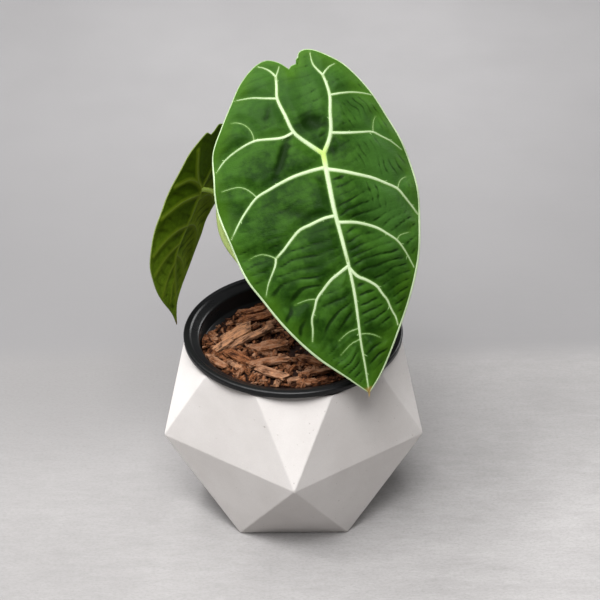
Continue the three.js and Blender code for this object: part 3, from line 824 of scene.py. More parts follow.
def rearPath(path, side=1):
    return [(side * x + float(rearShift(np.array(y))), y) for x, y in path]


frontLeaf = {
    "name": "front",
    "slots": ("leaf_green", "vein_pale"),
    "skins": ("frontBladeSkin", "paleVein"),
    "joint": (15.8, 8, 213.9),
    "up": (-0.183, 0.572, 0.8),
    "face": (-0.018, -0.815, 0.579),
    "rise": frontRise,
    "thickness": 0.8,
    "puff": 1.4,  # how far the blade swells between its veins
    "ribBelow": 1.0,
    "quiltPitch": 4.9,
    "quiltDepth": 0.7,
    "wrinklePitch": 3.1,
    "wrinkleDepth": 0.28,
    "rows": 240,
    "half": 90,  # columns on each side of the midrib
    "veinSide": 1,  # the veins lie on the upper face, and at -1 on the lower one
    "tip": -129,
    "dryFrom": -126.5,
    "middle": [(-8.8, 48.7), (-3.5, 25), (0, 0.5), (2, -56), (0, -126.5)],
    "leftEdge": [(-8.8, 48.7), (-13.9, 53.3), (-20, 55.7), (-26.3, 53.7), (-35.2, 46),
                 (-42.6, 35.3), (-50.2, 23.1), (-56.5, 11.3), (-58.4, -2), (-59.7, -18),
                 (-56.2, -36.5), (-51.3, -56.8), (-45.5, -68.5), (-36.1, -85.7),
                 (-23.6, -102.9), (-8.5, -118), (0, -126.5)],
    # the right lobe starts with a small torn tooth
    "rightEdge": [(-8.8, 48.7), (-7.5, 50.2), (-5.2, 50.9), (-3.2, 51.4), (-4.2, 52.6), (-4.1, 53.7),
                  (-2.8, 54.5), (-2.2, 56.6), (0.4, 57.8), (5.1, 56.8), (12.8, 52.1), (20.3, 45.9),
                  (29.6, 32.5), (36.8, 16.6), (43.4, -2.8), (45.9, -26.3), (42.5, -47.7),
                  (38.4, -63.3), (30, -81.8), (19.4, -100), (8, -117.4), (0, -126.5)],
    # each vein: its width at the start and the end, then its path
    "veins": [
        (2.9, 1.8, [(0.3, 0.5), (0.1, -13), (0.1, -29.5), (1, -44), (1.9, -58.3)]),
        (1.8, 0.8, [(1.9, -58.3), (2.2, -73), (1.5, -87.7), (0.7, -100), (0.5, -114), (0, -125.6)]),
        (2.5, 1.4, [(0, 0.5), (-6.6, 7.2), (-12.7, 14.3), (-15.6, 24.5), (-18, 34.2), (-17.1, 40.4),
                    (-16.5, 46)]),
        (2.5, 1.4, [(0.5, 0.5), (4.6, 7), (6.5, 12), (8, 21.5), (9.5, 30.1), (9.1, 36.9), (8, 42.4)]),
        (1.2, 0.6, [(-16.5, 46), (-18.5, 49.2), (-21.7, 51.9), (-25.7, 53.7)]),
        (1.0, 0.6, [(-16.5, 46), (-15.1, 48.4), (-13.8, 51.1)]),
        (1.2, 0.6, [(8, 42.4), (5.9, 45.6), (4, 49.3), (3.7, 56.3)]),
        (1.1, 0.6, [(8, 42.4), (11.9, 46), (16, 47.6)]),
        (1.2, 0.7, [(-18, 34.2), (-24.2, 35.6), (-30.9, 37.2), (-40.3, 37.6)]),
        (1.7, 0.7, [(-13, 14.6), (-17.2, 13.1), (-21, 12.8), (-27.8, 13.6), (-33.6, 14), (-42.4, 11.5),
                    (-51.3, 6.8), (-56.8, 1.4)]),
        (0.5, 0.4, [(-34, 14.2), (-34.4, 18.6), (-36.8, 22.9), (-40.6, 25.4), (-44.3, 26)]),
        (1.2, 0.7, [(9.6, 30.8), (16.2, 30.9), (22.6, 30.4), (27.3, 29.3), (31.7, 27.8)]),
        (1.6, 0.6, [(6.4, 10.6), (13.6, 9.3), (21.5, 8.4), (28.4, 7.6), (32.2, 4.9), (36.6, 1.9),
                    (42.1, -3.8)]),
        (0.6, 0.4, [(28.4, 7.6), (29.1, 11.3), (30.3, 14.5), (31.7, 16)]),
        (2.1, 0.8, [(0.2, -7), (-5.1, -7.2), (-11.6, -7.9), (-17.7, -8.9), (-23.8, -10.6), (-31.3, -13.2),
                    (-38.1, -15.8), (-43.9, -20.8), (-48.8, -26.1), (-55.4, -35.1)]),
        (0.6, 0.5, [(-38.3, -15.6), (-41.6, -11.5), (-44.4, -9.4), (-47.6, -8.5), (-55.7, -9.1)]),
        (2.1, 1.0, [(0.3, -8), (8, -10.6), (15.5, -13.6), (23.4, -16.9), (29.7, -20.6), (35.3, -24.3),
                    (38.4, -29.3), (41.3, -34.5), (43.7, -39.2)]),
        (0.7, 0.4, [(35.3, -24.3), (37.1, -20.9), (38.9, -19.2), (41.3, -18.4)]),
        (1.9, 1.2, [(0.1, -33.3), (-6, -33.6), (-13.8, -35.6), (-19.4, -37.1), (-25.3, -41.8),
                    (-30.1, -46.2), (-34.4, -49.3)]),
        (1.2, 0.6, [(-34.4, -49.3), (-35.3, -52.6), (-38.4, -57.8), (-40.7, -61.5), (-43.3, -67.9)]),
        (0.6, 0.4, [(-34.4, -49.3), (-37.2, -47.4), (-40.7, -45.9), (-44.4, -45.9), (-48.4, -47.2)]),
        (1.9, 0.7, [(0.7, -37), (8.4, -38.3), (13.4, -39.9), (20.8, -43.6), (25.4, -47.5), (29.5, -51.3),
                    (32.3, -56.5), (34.4, -62.2), (35.8, -66.7)]),
        (0.6, 0.4, [(29.5, -51.3), (31.6, -48.9), (33.9, -48.5), (37.3, -48.1)]),
        (1.8, 0.8, [(1.9, -60.2), (-3.2, -62.9), (-8.5, -65.8), (-13, -69.7), (-17.5, -74.1),
                    (-19.4, -78.4), (-22.1, -84.2), (-22.6, -89.4), (-24, -95.4)]),
        (0.6, 0.4, [(-17.5, -74.1), (-20.6, -73.7), (-24.3, -73.8), (-29.3, -74.9)]),
        (1.8, 0.8, [(2, -61.5), (5.5, -66.6), (9.8, -69.3), (14.6, -73.6), (16.2, -77.3), (18.2, -80.8),
                    (19.7, -86.9), (21.1, -90.8), (21.4, -95.1)]),
        (0.7, 0.4, [(1.1, -93), (-3.9, -93.8), (-7.4, -95.5), (-10.4, -97.5)]),
        (0.6, 0.4, [(0.8, -98.6), (-4.1, -100.1), (-7.7, -102.5), (-10.8, -104.9)]),
        (0.6, 0.4, [(0.9, -96), (4.6, -96.5), (8, -97.7), (11.3, -99.9)]),
    ],
    "leftMargin": (0.6, 0.8, 1.2, 1.4, 1.4, 1.6, 1.7, 1.2),
    "rightMargin": (0.7, 1.0, 1.3, 1.6, 1.8, 1.8, 1.6, 1.3),
    # how pale each margin is, from the notch to the tip; over 1 its sides are pale too
    "leftPale": (0.3, 0.6, 1.1, 1.5, 1.6, 1.3, 0.9, 0.8),
    "rightPale": (0.5, 0.9, 1.5, 1.9, 2.0, 2.0, 1.8, 1.2),
    "dryPoint": [(0, -125.4), (-0.1, -127.6), (-0.6, -129.2)],
    # valleys pressed into the blade: depth, half width, path
    "creases": [
        (1.7, 2.6, [(-16.5, 12), (-19.8, 5.1), (-23.1, -1.3), (-27, -7)]),
        (0.7, 1.7, [(-22.4, 31), (-24.9, 25.9), (-27.1, 20.3)]),
        (1.6, 4.5, [(-9, 17), (-3, 18.5), (3.3, 16)]),
        (0.9, 2.2, [(6, 5), (5.3, -3)]),
        (0.8, 2.0, [(-6.5, -11), (-2.8, -14)]),
        (0.8, 2.0, [(5, -13.5), (9, -15)]),
        (0.7, 3.4, [(-32, -23), (-22.7, -26.8), (-11.9, -31.1), (-4, -34)]),
        (0.6, 1.6, [(3, -40), (12, -43), (20, -48)]),
        (0.5, 1.4, [(2, -68), (8, -73), (14, -81)]),
    ],
}

# the rear leaf's two sides differ; both run from the notch to the tip, measured out from the midrib
rearOuterEdge = [(5.2, 33.2), (7.5, 34.2), (10, 35), (12.5, 33.5), (16, 30.5), (21, 25.5), (25.2, 18.2),
                 (29.2, 10.2), (32.5, 2.2), (33.6, -6.8), (33.4, -15.2), (32.9, -23.5), (31.7, -30.2),
                 (29.9, -36.8), (26.5, -44.5), (21.8, -52.8), (15.5, -60.8), (8.6, -67.8), (3.6, -73.8),
                 (0, -80.6)]
rearInnerEdge = [(-5.2, 33.2), (-2.8, 34.5), (-1, 36.2), (1, 37.8), (5.5, 37.2), (12, 35.5), (18.3, 31.5),
                 (23.8, 25.4), (28.5, 18), (32.8, 10.7), (35.3, 1.9), (35.4, -7.5), (33.6, -18.1),
                 (31.2, -26), (31.2, -34), (29, -42.3), (24.5, -49), (18.2, -55.3), (11.1, -61),
                 (4.8, -66.5), (1.2, -73), (0, -80.6)]

rearMidrib = [(0, 0.5), (-1.5, -8), (-1.5, -15), (-0.5, -20.5), (1.5, -27), (3.6, -33), (3.6, -39.5),
              (1.8, -46), (0, -53), (-1.2, -62), (-0.8, -71), (0, -79.6)]

rearOuterVeins = [
    (1.6, 0.6, [(0, 0.5), (6, 5), (9, 9), (11.5, 14), (13.5, 20), (15, 26)]),
    (1.0, 0.5, [(4.5, 4), (10, 7), (18, 9.5), (28, 7.5)]),
    (1.6, 0.6, [(-0.7, -3), (7, -2.5), (15, -2.5), (22, -4), (29, -7.3), (32, -9.5)]),
    (1.4, 0.6, [(-0.5, -20.5), (6, -19.8), (12, -19.8), (19.2, -21.8), (26, -26), (30, -30)]),
    (1.3, 0.5, [(2.4, -29.6), (7, -30.2), (12, -31.5), (18.5, -34.8), (25, -41.5)]),
    (1.1, 0.5, [(3.5, -40), (9, -44), (14, -51), (16, -57)]),
    (0.9, 0.4, [(0.8, -50), (4.5, -55), (7.5, -63)]),
]

rearInnerVeins = [
    (1.6, 0.6, [(0, 0.5), (5, 9), (10, 18), (11, 29)]),
    (1.0, 0.5, [(7.4, 12.5), (19, 15), (29, 8.5)]),
    (1.4, 0.6, [(1.2, -6), (14, -6), (26, -12), (32, -21)]),
    (1.3, 0.5, [(0.8, -20), (12, -23), (22, -31), (26, -42)]),
    (1.1, 0.5, [(-3.4, -36), (5, -41), (12, -49), (15, -56)]),
]

rearLeaf = {
    "name": "rear",
    "slots": ("leaf_underside", "vein_underside"),
    "skins": ("rearBladeSkin", "rearVein"),
    "joint": (-49.7, 32, 179.1),
    "up": (0.19, 0.19, 0.963),
    "face": (-0.9, 0.42, 0.1),
    "rise": rearRise,
    "thickness": 0.8,
    "puff": 0.8,
    "ribBelow": 0,
    "quiltPitch": 7.0,
    "quiltDepth": 0.25,
    "rows": 140,
    "half": 50,
    "veinSide": -1,
    "tip": -79,
    "dryFrom": -79.2,
    "middle": rearPath([(5.2, 33.2), (2, 16), (0, 0.5), (0, -20), (0, -40), (0, -60), (0, -80.6)]),
    "leftEdge": rearPath(rearInnerEdge, -1),
    "rightEdge": rearPath(rearOuterEdge, 1),
    "veins": [(2.4, 0.8, rearPath(rearMidrib))]
    + [(a, b, rearPath(path)) for a, b, path in rearOuterVeins]
    + [(a, b, rearPath(path, -1)) for a, b, path in rearInnerVeins],
    "leftMargin": (0.6, 0.7, 0.7, 0.6),
    "leftPale": (0.2, 0.2, 0.2),
    "rightMargin": (0.6, 0.8, 0.8, 0.7, 0.6, 0.6),
    "rightPale": (0.4, 1.4, 1.6, 1.2, 0.5, 0.3),
    "creases": [],
}


# the leaf's own axes as rows, across, up and out of its face, and its joint
def leafFrame(leaf):
    up = Vector(leaf["up"]).normalized()
    face = Vector(leaf["face"])
    face = (face - up * face.dot(up)).normalized()
    return np.array([up.cross(face), up, face]), np.array(leaf["joint"], float)


def toScene(leaf, x, y, z):
    axes, joint = leafFrame(leaf)
    return np.column_stack([np.ravel(x), np.ravel(y), np.ravel(z)]) @ axes + joint


# distance from each point to a line in the leaf's plane, and how far along it that is
def lineDistance(x, y, line):
    near = np.full(x.shape, 1e9)
    along = np.zeros(x.shape)
    for i, (a, b) in enumerate(zip(line, line[1:])):
        d = b - a
        t = np.clip(((x - a[0]) * d[0] + (y - a[1]) * d[1]) / max(d @ d, 1e-9), 0, 1)
        gap = np.hypot(x - a[0] - t * d[0], y - a[1] - t * d[1])
        closer = gap < near
        near = np.where(closer, gap, near)
        along = np.where(closer, (i + t) / (len(line) - 1), along)
    return near, along


def wander(x, y, size, seed):
    flat = zip(x.ravel() / size, y.ravel() / size)
    return np.array([noise.noise(Vector((u, v, seed))) for u, v in flat]).reshape(x.shape)


# rounded rows with sharp valleys between them
def rowsOf(s, pitch, power=1.0):
    return np.abs(np.sin(np.pi * s / pitch)) ** power - 0.6


# everything about the blade's surface at points x, y
def bladeSurface(leaf, x, y):
    x, y = np.array(x, float), np.array(y, float)
    centreGap, veinGap = np.full(x.shape, 1e9), np.full(x.shape, 1e9)
    ribs = np.zeros(x.shape)
    for start, end, path in leaf["veins"]:
        line = roundedLine(path, max(6, linePieces(path, 2.5)))
        near, along = lineDistance(x, y, line)
        half = (start + (end - start) * along) / 2
        if path is leaf["veins"][0][2]:
            ribGap = near * (1 + along)
        centreGap = np.minimum(centreGap, near)
        veinGap = np.minimum(veinGap, near - half)
        ribs = np.maximum(ribs, half / 2.1 * np.exp(-((near / (half * 1.1)) ** 2)))
    edges = [lineDistance(x, y, roundedLine(leaf[side], 90))[0] for side in ("leftEdge", "rightEdge")]
    rimGap = np.minimum(*edges)
    inner = softStep(rimGap, 0, 5)
    puff = softStep(centreGap, 0.6, 6.5) * inner + 0.6 * (1 - inner)
    clear = softStep(centreGap, 0.9, 4.2) * softStep(rimGap, 0.3, 3.5)
    height = leaf["rise"](x, y) + leaf["puff"] * puff + 0.5 * wander(x, y, 15, 2) * clear
    slow, quick = wander(x, y, 17, 5), wander(x, y, 7, 8)
    patchy = 0.25 + 1.0 * softStep(wander(x, y, 13, 11), -0.4, 0.3)
    if leaf["name"] == "front":
        # quilting: rows that run out from the midrib, strongest to the right and low down
        low = softStep(-y, 60, 105)
        lean = np.where(x > 0, -0.3 - 0.15 * low, 0.15 + 0.75 * low)
        rows = rowsOf(y + lean * np.abs(x) + 2.8 * slow + 0.9 * quick, leaf["quiltPitch"], 0.8)
        side = np.where(x > 0, 0.5 + 0.5 * softStep(-y, 0, 25), 0.2 + 0.7 * softStep(-y, 20, 60))
        wrinkled = softStep(x, 8, 22) * softStep(y, -60, -15)
        pleat = rows * side * patchy * clear * (1 - 0.85 * wrinkled)
        height = height + leaf["quiltDepth"] * pleat
        # fine wrinkles that run beside the right edge
        wrinkle = rowsOf(edges[1] + 1.6 * quick + 3.5 * slow, leaf["wrinklePitch"])
        wrinkle = wrinkle * wrinkled * softStep(wander(x, y, 9, 14), -0.3, 0.35) * clear
        pleat = pleat + 0.6 * wrinkle
        height = height + leaf["wrinkleDepth"] * wrinkle
    else:
        rows = rowsOf(y - 0.4 * np.abs(x - rearShift(y)) + 3 * slow + quick, leaf["quiltPitch"])
        pleat = rows * patchy * clear * 0.5
        height = height + leaf["quiltDepth"] * pleat
    for depth, half, path in leaf["creases"]:
        near, along = lineDistance(x, y, roundedLine(path, 14))
        fade = np.sin(np.pi * np.clip(along, 0.08, 0.92)) ** 0.5
        crease = fade * np.exp(-((near / half) ** 2)) * softStep(centreGap, 0, 1.8)
        height = height - depth * crease
        # the crease also darkens the colour through pleat: painted shade
        pleat = pleat - 0.35 * depth * crease
    height = height - 0.45 * np.exp(-rimGap / 1.6)
    thick = leaf["thickness"] * (0.65 + 0.35 * softStep(rimGap, 0, 3)) + leaf["ribBelow"] * ribs
    if leaf["veinSide"] < 0:
        height = height - 0.15 * np.exp(-((np.maximum(veinGap, 0) / 0.8) ** 2))
    return {"height": height, "thick": thick, "veinGap": veinGap, "ribGap": ribGap, "rimGap": rimGap,
            "pleat": pleat}


# the way the surface faces at points x, y
def surfaceFacing(leaf, x, y, step=0.5):
    spots = [(x, y), (x + step, y), (x, y + step)]
    a, b, c = (toScene(leaf, u, v, bladeSurface(leaf, u, v)["height"]) for u, v in spots)
    facing = np.cross(b - a, c - a)
    return facing / np.linalg.norm(facing, axis=1)[:, None]


def makeBlade(leaf, material):
    rows, half = leaf["rows"], leaf["half"]
    middle = roundedLine(leaf["middle"], rows)
    sides = [roundedLine(leaf[side], rows) for side in ("leftEdge", "rightEdge")]
    across = np.arange(-half, half + 1)
    t = np.abs(across)[None, :, None] / half
    edge = np.where(across[None, :, None] < 0, sides[0][:, None], sides[1][:, None])
    flat = middle[:, None] + (edge - middle[:, None]) * t
    x, y = flat[..., 0], flat[..., 1]
    skin = bladeSurface(leaf, x, y)
    top = toScene(leaf, x, y, skin["height"])
    bottom = toScene(leaf, x, y, skin["height"] - skin["thick"])
    width, n = 2 * half + 1, (rows + 1) * (2 * half + 1)
    faces = []
    for j in range(rows):
        for i in range(width - 1):
            a, c = j * width + i, (j + 1) * width + i
            faces.append((a, c, c + 1, a + 1))
            faces.append((n + a, n + a + 1, n + c + 1, n + c))
        for i in (0, width - 1):
            a, c = j * width + i, (j + 1) * width + i
            faces.append((a, n + a, n + c, c) if i == 0 else (a, c, n + c, n + a))
    blade = newObject(f"{leaf['name']}_blade_sheet", np.vstack([top, bottom]), faces=faces)
    for name in ("veinGap", "ribGap", "rimGap", "pleat"):
        storeValues(blade.data, name, "FLOAT", np.tile(skin[name].ravel(), 2))
    storeValues(blade.data, "backSide", "FLOAT", np.repeat([0, 1], n))
    plan = np.column_stack([x.ravel(), y.ravel(), np.zeros(n)])
    storeValues(blade.data, "leafPlan", "FLOAT_VECTOR", np.tile(plan, (2, 1)))
    tidyMesh(blade)
    blade.data.shade_smooth()
    dress(blade, material)
    standFor(blade, f"{leaf['name']}_leaf_blade", leaf["slots"][0])


# veins and margin: flat-oval ribs swept along lines that lie on the blade

ribLook = {
    "step": 0.8,
    "sides": 12,
    "flatness": 0.4,
    "sunk": 0.12,  # the share of a vein's half width that lies in the blade
    "edgePieces": 220,
    "stubSeed": 23,
    "stubReach": (1.2, 3.0),
    "stubFirst": (5, 9),  # millimetres along a vein to its first stub, and on to each next one
    "stubNext": (6, 13),
}


def buildVeins(sheet, given):
    line, oval = lineAndRing(sheet, given)
    facing = readValue(sheet, "faceUp", "FLOAT_VECTOR")
    line = sheet.add("GeometryNodeSetCurveNormal", {"mode": "FREE"}, {"Curve": line, "Normal": facing})
    side = sheet.apart(sheet.add("GeometryNodeInputPosition"))[1]
    oval = keepValue(sheet, oval, "fromCrest", abs(side))
    flat = sheet.together(given["Flatness"], 1.0, 1.0)
    oval = sheet.add("GeometryNodeTransform", None, {"Geometry": oval, "Scale": flat})
    return smoothShade(sheet, drawAlong(sheet, line, oval))


# short ends of the smaller veins that leave the big ones
def veinStubs(leaf, look):
    rng = random.Random(look["stubSeed"])
    for start, end, path in leaf["veins"]:
        if start < 1.5 or leaf["veinSide"] < 0:
            continue
        line = roundedLine(path, linePieces(path, 1.0))
        spot = rng.randint(*look["stubFirst"])
        while spot < len(line) - 3:
            way = line[spot + 1] - line[spot]
            out = np.array([-way[1], way[0]]) * rng.choice((-1, 1))
            out, way = out / np.linalg.norm(out), way / np.linalg.norm(way)
            reach = rng.uniform(*look["stubReach"])
            yield roundedLine([line[spot], line[spot] + (out * 0.8 + way * 0.5) * reach * 0.5,
                               line[spot] + (out * 0.8 + way * 0.7) * reach], 4)
            spot += rng.randint(*look["stubNext"])


def makeVeins(leaf, look, material):
    points, edges, facing, widths, shades = [], [], [], [], []

    def addLine(flat, half, sink, pale, closed=False):
        x, y = flat.T
        skin = bladeSurface(leaf, x, y)
        side = leaf["veinSide"]
        if closed:
            z = skin["height"] - skin["thick"] / 2
        else:
            z = skin["height"] - sink if side > 0 else skin["height"] - skin["thick"] + sink
        start = len(points)
        points.extend(toScene(leaf, x, y, z))
        facing.extend(surfaceFacing(leaf, x, y) * side)
        widths.extend(half * mm)
        shades.extend(np.broadcast_to(pale, len(flat)))
        edges.extend((start + i, start + i + 1) for i in range(len(flat) - 1))
        if closed:
            edges.append((start + len(flat) - 1, start))

    for start, end, path in leaf["veins"]:
        count = linePieces(path, 1.2)
        t = np.linspace(0, 1, count + 1)
        swell = np.array([noise.noise(Vector((u * 9, start, end))) for u in t])
        half = (start + (end - start) * t) / 2 * (1 + 0.12 * swell)
        half = half * (1 - 0.75 * softStep(t, 0.93, 1.0))
        pale = 0.2 + 0.8 * softStep(half, 0.15, 0.75) if leaf["veinSide"] > 0 else 0.12
        addLine(roundedLine(path, count), half, look["sunk"] * half + 0.05, pale)
    for flat in veinStubs(leaf, look):
        addLine(flat, np.linspace(0.45, 0.12, len(flat)), 0.1, 0.25)
    if "dryPoint" in leaf:
        flat = roundedLine(leaf["dryPoint"], 6)
        addLine(flat, np.linspace(0.7, 0.12, len(flat)), 0.5, 1.0)

    # the margin runs down the left edge and back up the right one, and so do its width and tone
    count = look["edgePieces"]
    left, right = (roundedLine(leaf[side], count) for side in ("leftEdge", "rightEdge"))

    def alongEdge(what):
        t = np.linspace(0, 1, count + 1)
        a, b = (np.interp(t, np.linspace(0, 1, len(leaf[side + what])), leaf[side + what])
                for side in ("left", "right"))
        return np.concatenate([a, b[-2:0:-1]])

    addLine(np.vstack([left, right[-2:0:-1]]), alongEdge("Margin") / 2, 0.0, alongEdge("Pale"), closed=True)
    net = newObject(f"{leaf['name']}_vein_net", points, edges=edges)
    storeValues(net.data, "faceUp", "FLOAT_VECTOR", facing)
    storeValues(net.data, "halfWidth", "FLOAT", widths)
    storeValues(net.data, "paleness", "FLOAT", shades)
    growOn(net, "veinRibs", buildVeins, {
        "Step": look["step"] * mm, "Sides": look["sides"], "Flatness": look["flatness"],
        "Finish": material})
    standFor(net, f"{leaf['name']}_leaf_veins", leaf["slots"][1])


frontBladeLook = {
    "deep": (0.0068, 0.0255, 0.0016, 1),
    "mid": (0.0235, 0.068, 0.0062, 1),
    "lush": (0.046, 0.116, 0.007, 1),
    "fresh": (0.030, 0.082, 0.0140, 1),
    "fold": (0.0030, 0.0115, 0.0008, 1),
    "halo": (0.060, 0.130, 0.020, 1),
    "pale": (0.260, 0.340, 0.170, 1),
    "back": (0.050, 0.095, 0.020, 1),
    "backLow": (0.055, 0.105, 0.020, 1),
    "backInner": (0.055, 0.105, 0.020, 1),
    "innerShare": 0.0,
    "backVein": (0.20, 0.28, 0.08, 1),
    "dry": (0.20, 0.11, 0.03, 1),
    "gloss": 0.03,
}

rearBladeLook = {
    "deep": (0.0090, 0.030, 0.0025, 1),
    "mid": (0.0220, 0.064, 0.0060, 1),
    "lush": (0.035, 0.090, 0.005, 1),
    "fresh": (0.030, 0.082, 0.0140, 1),
    "fold": (0.020, 0.036, 0.0010, 1),
    "halo": (0.060, 0.130, 0.020, 1),
    "pale": (0.260, 0.340, 0.170, 1),
    "back": (0.038, 0.074, 0.0020, 1),
    "backLow": (0.105, 0.180, 0.0110, 1),
    "backInner": (0.150, 0.225, 0.0120, 1),
    "innerShare": 0.8,
    "backVein": (0.125, 0.185, 0.0110, 1),
    "dry": (0.10, 0.07, 0.015, 1),
    "gloss": 0.01,
}


def bladeFinish(leaf, look):
    sheet = newFinish(leaf["skins"][0])
    plan = sheet.attribute("leafPlan", "Vector")
    veinGap, rimGap, ribGap = (sheet.attribute(name) for name in ("veinGap", "rimGap", "ribGap"))
    back, pleat = sheet.attribute("backSide"), sheet.attribute("pleat")
    drift = sheet.noise(plan, 0.05, 3, 0.55)
    mottle = sheet.noise(plan, 0.32, 4, 0.6)
    x, y = sheet.apart(plan)[:2]
    # upper side: clouds of green, painted lighter to the right and at the top as painted light, lighter by
    # the rim and the veins
    litRight = sheet.between(x, 8, 32) * sheet.between(y, -80, -35, 0.0, 0.85)
    litTop = sheet.between(y, 0, 45, 0.0, 0.5)
    upper = sheet.coats(
        look["deep"], look,
        ("mid", sheet.between(drift * 0.75 + mottle * 0.25, 0.39, 0.61)),
        # the fresh colour here is painted light on the right and at the top
        ("fresh", litRight.most(litTop)),
        ("lush", sheet.between(rimGap + (drift - 0.5) * 26, 9.0, -2.0) * 0.5),
        ("halo", sheet.between(veinGap, 1.1, 0.0) ** 2 * 0.6),
        ("pale", sheet.between(veinGap, 0.1, -0.25)),
        ("halo", sheet.between(rimGap, 0.35, 0.1) * 0.6))
    # under side: painted light, lighter low down and on its inner side near the joint
    inner = sheet.between(x, 6, -5) * sheet.between(y, 12, -8)
    under = sheet.coats(
        look["back"], look,
        ("backLow", sheet.between(y, 6, -62)),
        ("backInner", inner * look["innerShare"]),
        ("fold", sheet.between(drift * 0.5 + mottle * 0.5, 0.38, 0.62, 0.5, 0.0)),
        ("backVein", sheet.between(ribGap, 4.2, 0.4) * sheet.between(y, 4, -4) * 0.75),
        ("backVein", sheet.between(veinGap, 2.2, -0.3) * 0.8),
        ("backVein", sheet.between(rimGap, 0.6, 0.2) * 0.4))
    dryFrom = leaf["dryFrom"]
    # the fold colour darkens the valleys of the quilting and the creases by pleat: painted shade
    color = sheet.coats(
        sheet.tint(back, upper, under), look,
        ("fold", sheet.between(pleat, 0.04, -0.40) * 0.92),
        ("dry", sheet.between(y + (mottle - 0.5) * 3, dryFrom + 3.5, dryFrom + 1.0, 0.0, 0.9)))
    # a net of the smallest veins, about 1.3 mm across, pressed in very lightly
    cells = sheet.add("ShaderNodeTexVoronoi", {"feature": "DISTANCE_TO_EDGE"}, {
        "Vector": plan, "Scale": 0.75})
    net = sheet.between(cells, 0.0, 0.16)
    streaks = sheet.noise(sheet.stretch(plan, (0.25, 1.4, 1.0)), 1.0, 4, 0.6)
    rough = sheet.between(mottle, 0.25, 0.75, 0.40, 0.50) + back * 0.25
    return closeFinish(sheet, color, rough, net * 0.25 + streaks * 0.9, 0.2, 0.7, look["gloss"])


frontVeinLook = {
    "pale": (0.340, 0.420, 0.258, 1),
    "dim": (0.272, 0.360, 0.184, 1),
    "green": (0.10, 0.19, 0.045, 1),
    "glow": (0.28, 0.42, 0.06, 1),
    "dry": (0.20, 0.11, 0.03, 1),
    "roughness": 0.45,
    "gloss": 0.12,
}

rearVeinLook = {
    "pale": (0.24, 0.29, 0.10, 1),
    "dim": (0.18, 0.24, 0.06, 1),
    "green": (0.085, 0.135, 0.006, 1),
    "glow": (0.14, 0.20, 0.012, 1),
    "dry": (0.10, 0.07, 0.015, 1),
    "roughness": 0.6,
    "gloss": 0.02,
}


def veinFinish(leaf, look):
    sheet = newFinish(leaf["skins"][1])
    place = sheet.place()

    def awayFrom(point):
        values = {0: place, 1: tuple(float(v) * mm for v in point)}
        return sheet.add("ShaderNodeVectorMath", {"operation": "DISTANCE"}, values, out="Value")

    tip = toScene(leaf, 0, leaf["tip"], 0)[0]
    cloud = sheet.noise(place, 140, 3, 0.6)
    paleness, fromCrest = sheet.attribute("paleness"), sheet.attribute("fromCrest")
    own = sheet.tint(sheet.between(cloud, 0.35, 0.7, 0.0, 0.5), look["pale"], look["dim"])
    own = sheet.tint(paleness * (1 - sheet.between(fromCrest, 0.55, 1.0) * 0.55), look["green"], own)
    color = sheet.coats(
        own, look,
        ("glow", sheet.between(awayFrom(leaf["joint"]), 0.009, 0.002, 0.0, 0.8)),
        ("dry", sheet.between(awayFrom(tip), 0.0045, 0.002, 0.0, 0.9)))
    fibre = sheet.noise(place, 900, 3, 0.6)
    rough = sheet.between(cloud, 0.2, 0.8, look["roughness"] - 0.06, look["roughness"] + 0.08)
    return closeFinish(sheet, color, rough, fibre, 0.08, 0.6, look["gloss"])


# petioles: one plain stalk for each leaf

stalkLook = {
    "front": {
        "path": [(9, 6, 85), (9.2, 6.5, 112), (10.4, 12, 140), (12.4, 18, 172), (14.4, 17.5, 193),
                 (15.4, 14.2, 205), (15.8, 11.6, 211.2)],
        "radii": (3.8, 3.3, 2.6, 2.3, 2.1, 2.0),
    },
    "rear": {
        "path": [(4, 14, 85), (1, 12.5, 103), (-9.2, 15, 117.8), (-16.9, 18, 126.3), (-23.4, 20.3, 133.4),
                 (-28.8, 22.3, 139), (-32.3, 23.8, 143.2), (-35, 25, 147), (-37.1, 26, 151.2),
                 (-38.8, 27, 156.3), (-39.6, 28, 161.4), (-39.9, 29, 166.5), (-40, 29.8, 171.4),
                 (-40.8, 30.4, 175.8), (-43.2, 31, 178.2), (-46.2, 31.6, 178.9), (-49.4, 32, 178.9)],
        "radii": (3.2, 2.6, 2.1, 1.9, 1.75, 1.6, 1.4),
    },
    "pieces": 90,
    "step": 1.2,
    "sides": 32,
    "unevenScale": 180.0,
    "unevenness": 0.35,
    "green": (0.52, 0.69, 0.17, 1),
    "pale": (0.66, 0.80, 0.33, 1),
    "sheath": (0.25, 0.25, 0.08, 1),
    "joint": (0.12, 0.18, 0.01, 1),
    "gloss": 0.15,
}


def stalkFinish(look):
    sheet = newFinish("petioleSkin")
    along, around = sheet.attribute("alongStalk"), sheet.attribute("aroundStalk")
    streaks = sheet.noise(sheet.together(around * 34, along * 9), 1.0, 4, 0.6)
    flecks = sheet.noise(sheet.place(), 420, 3, 0.6)
    color = sheet.coats(
        look["green"], look,
        ("pale", sheet.between(streaks, 0.3, 0.7)),
        ("sheath", sheet.between(along, 0.35, 0.05, 0.0, 0.7)),
        ("joint", sheet.between(along, 0.84, 0.93, 0.0, 0.9)),
        ("joint", sheet.between(flecks, 0.62, 0.75, 0.0, 0.12)))
    rough = sheet.between(streaks, 0.2, 0.8, 0.36, 0.5)
    return closeFinish(sheet, color, rough, streaks, 0.12, 0.7, look["gloss"])


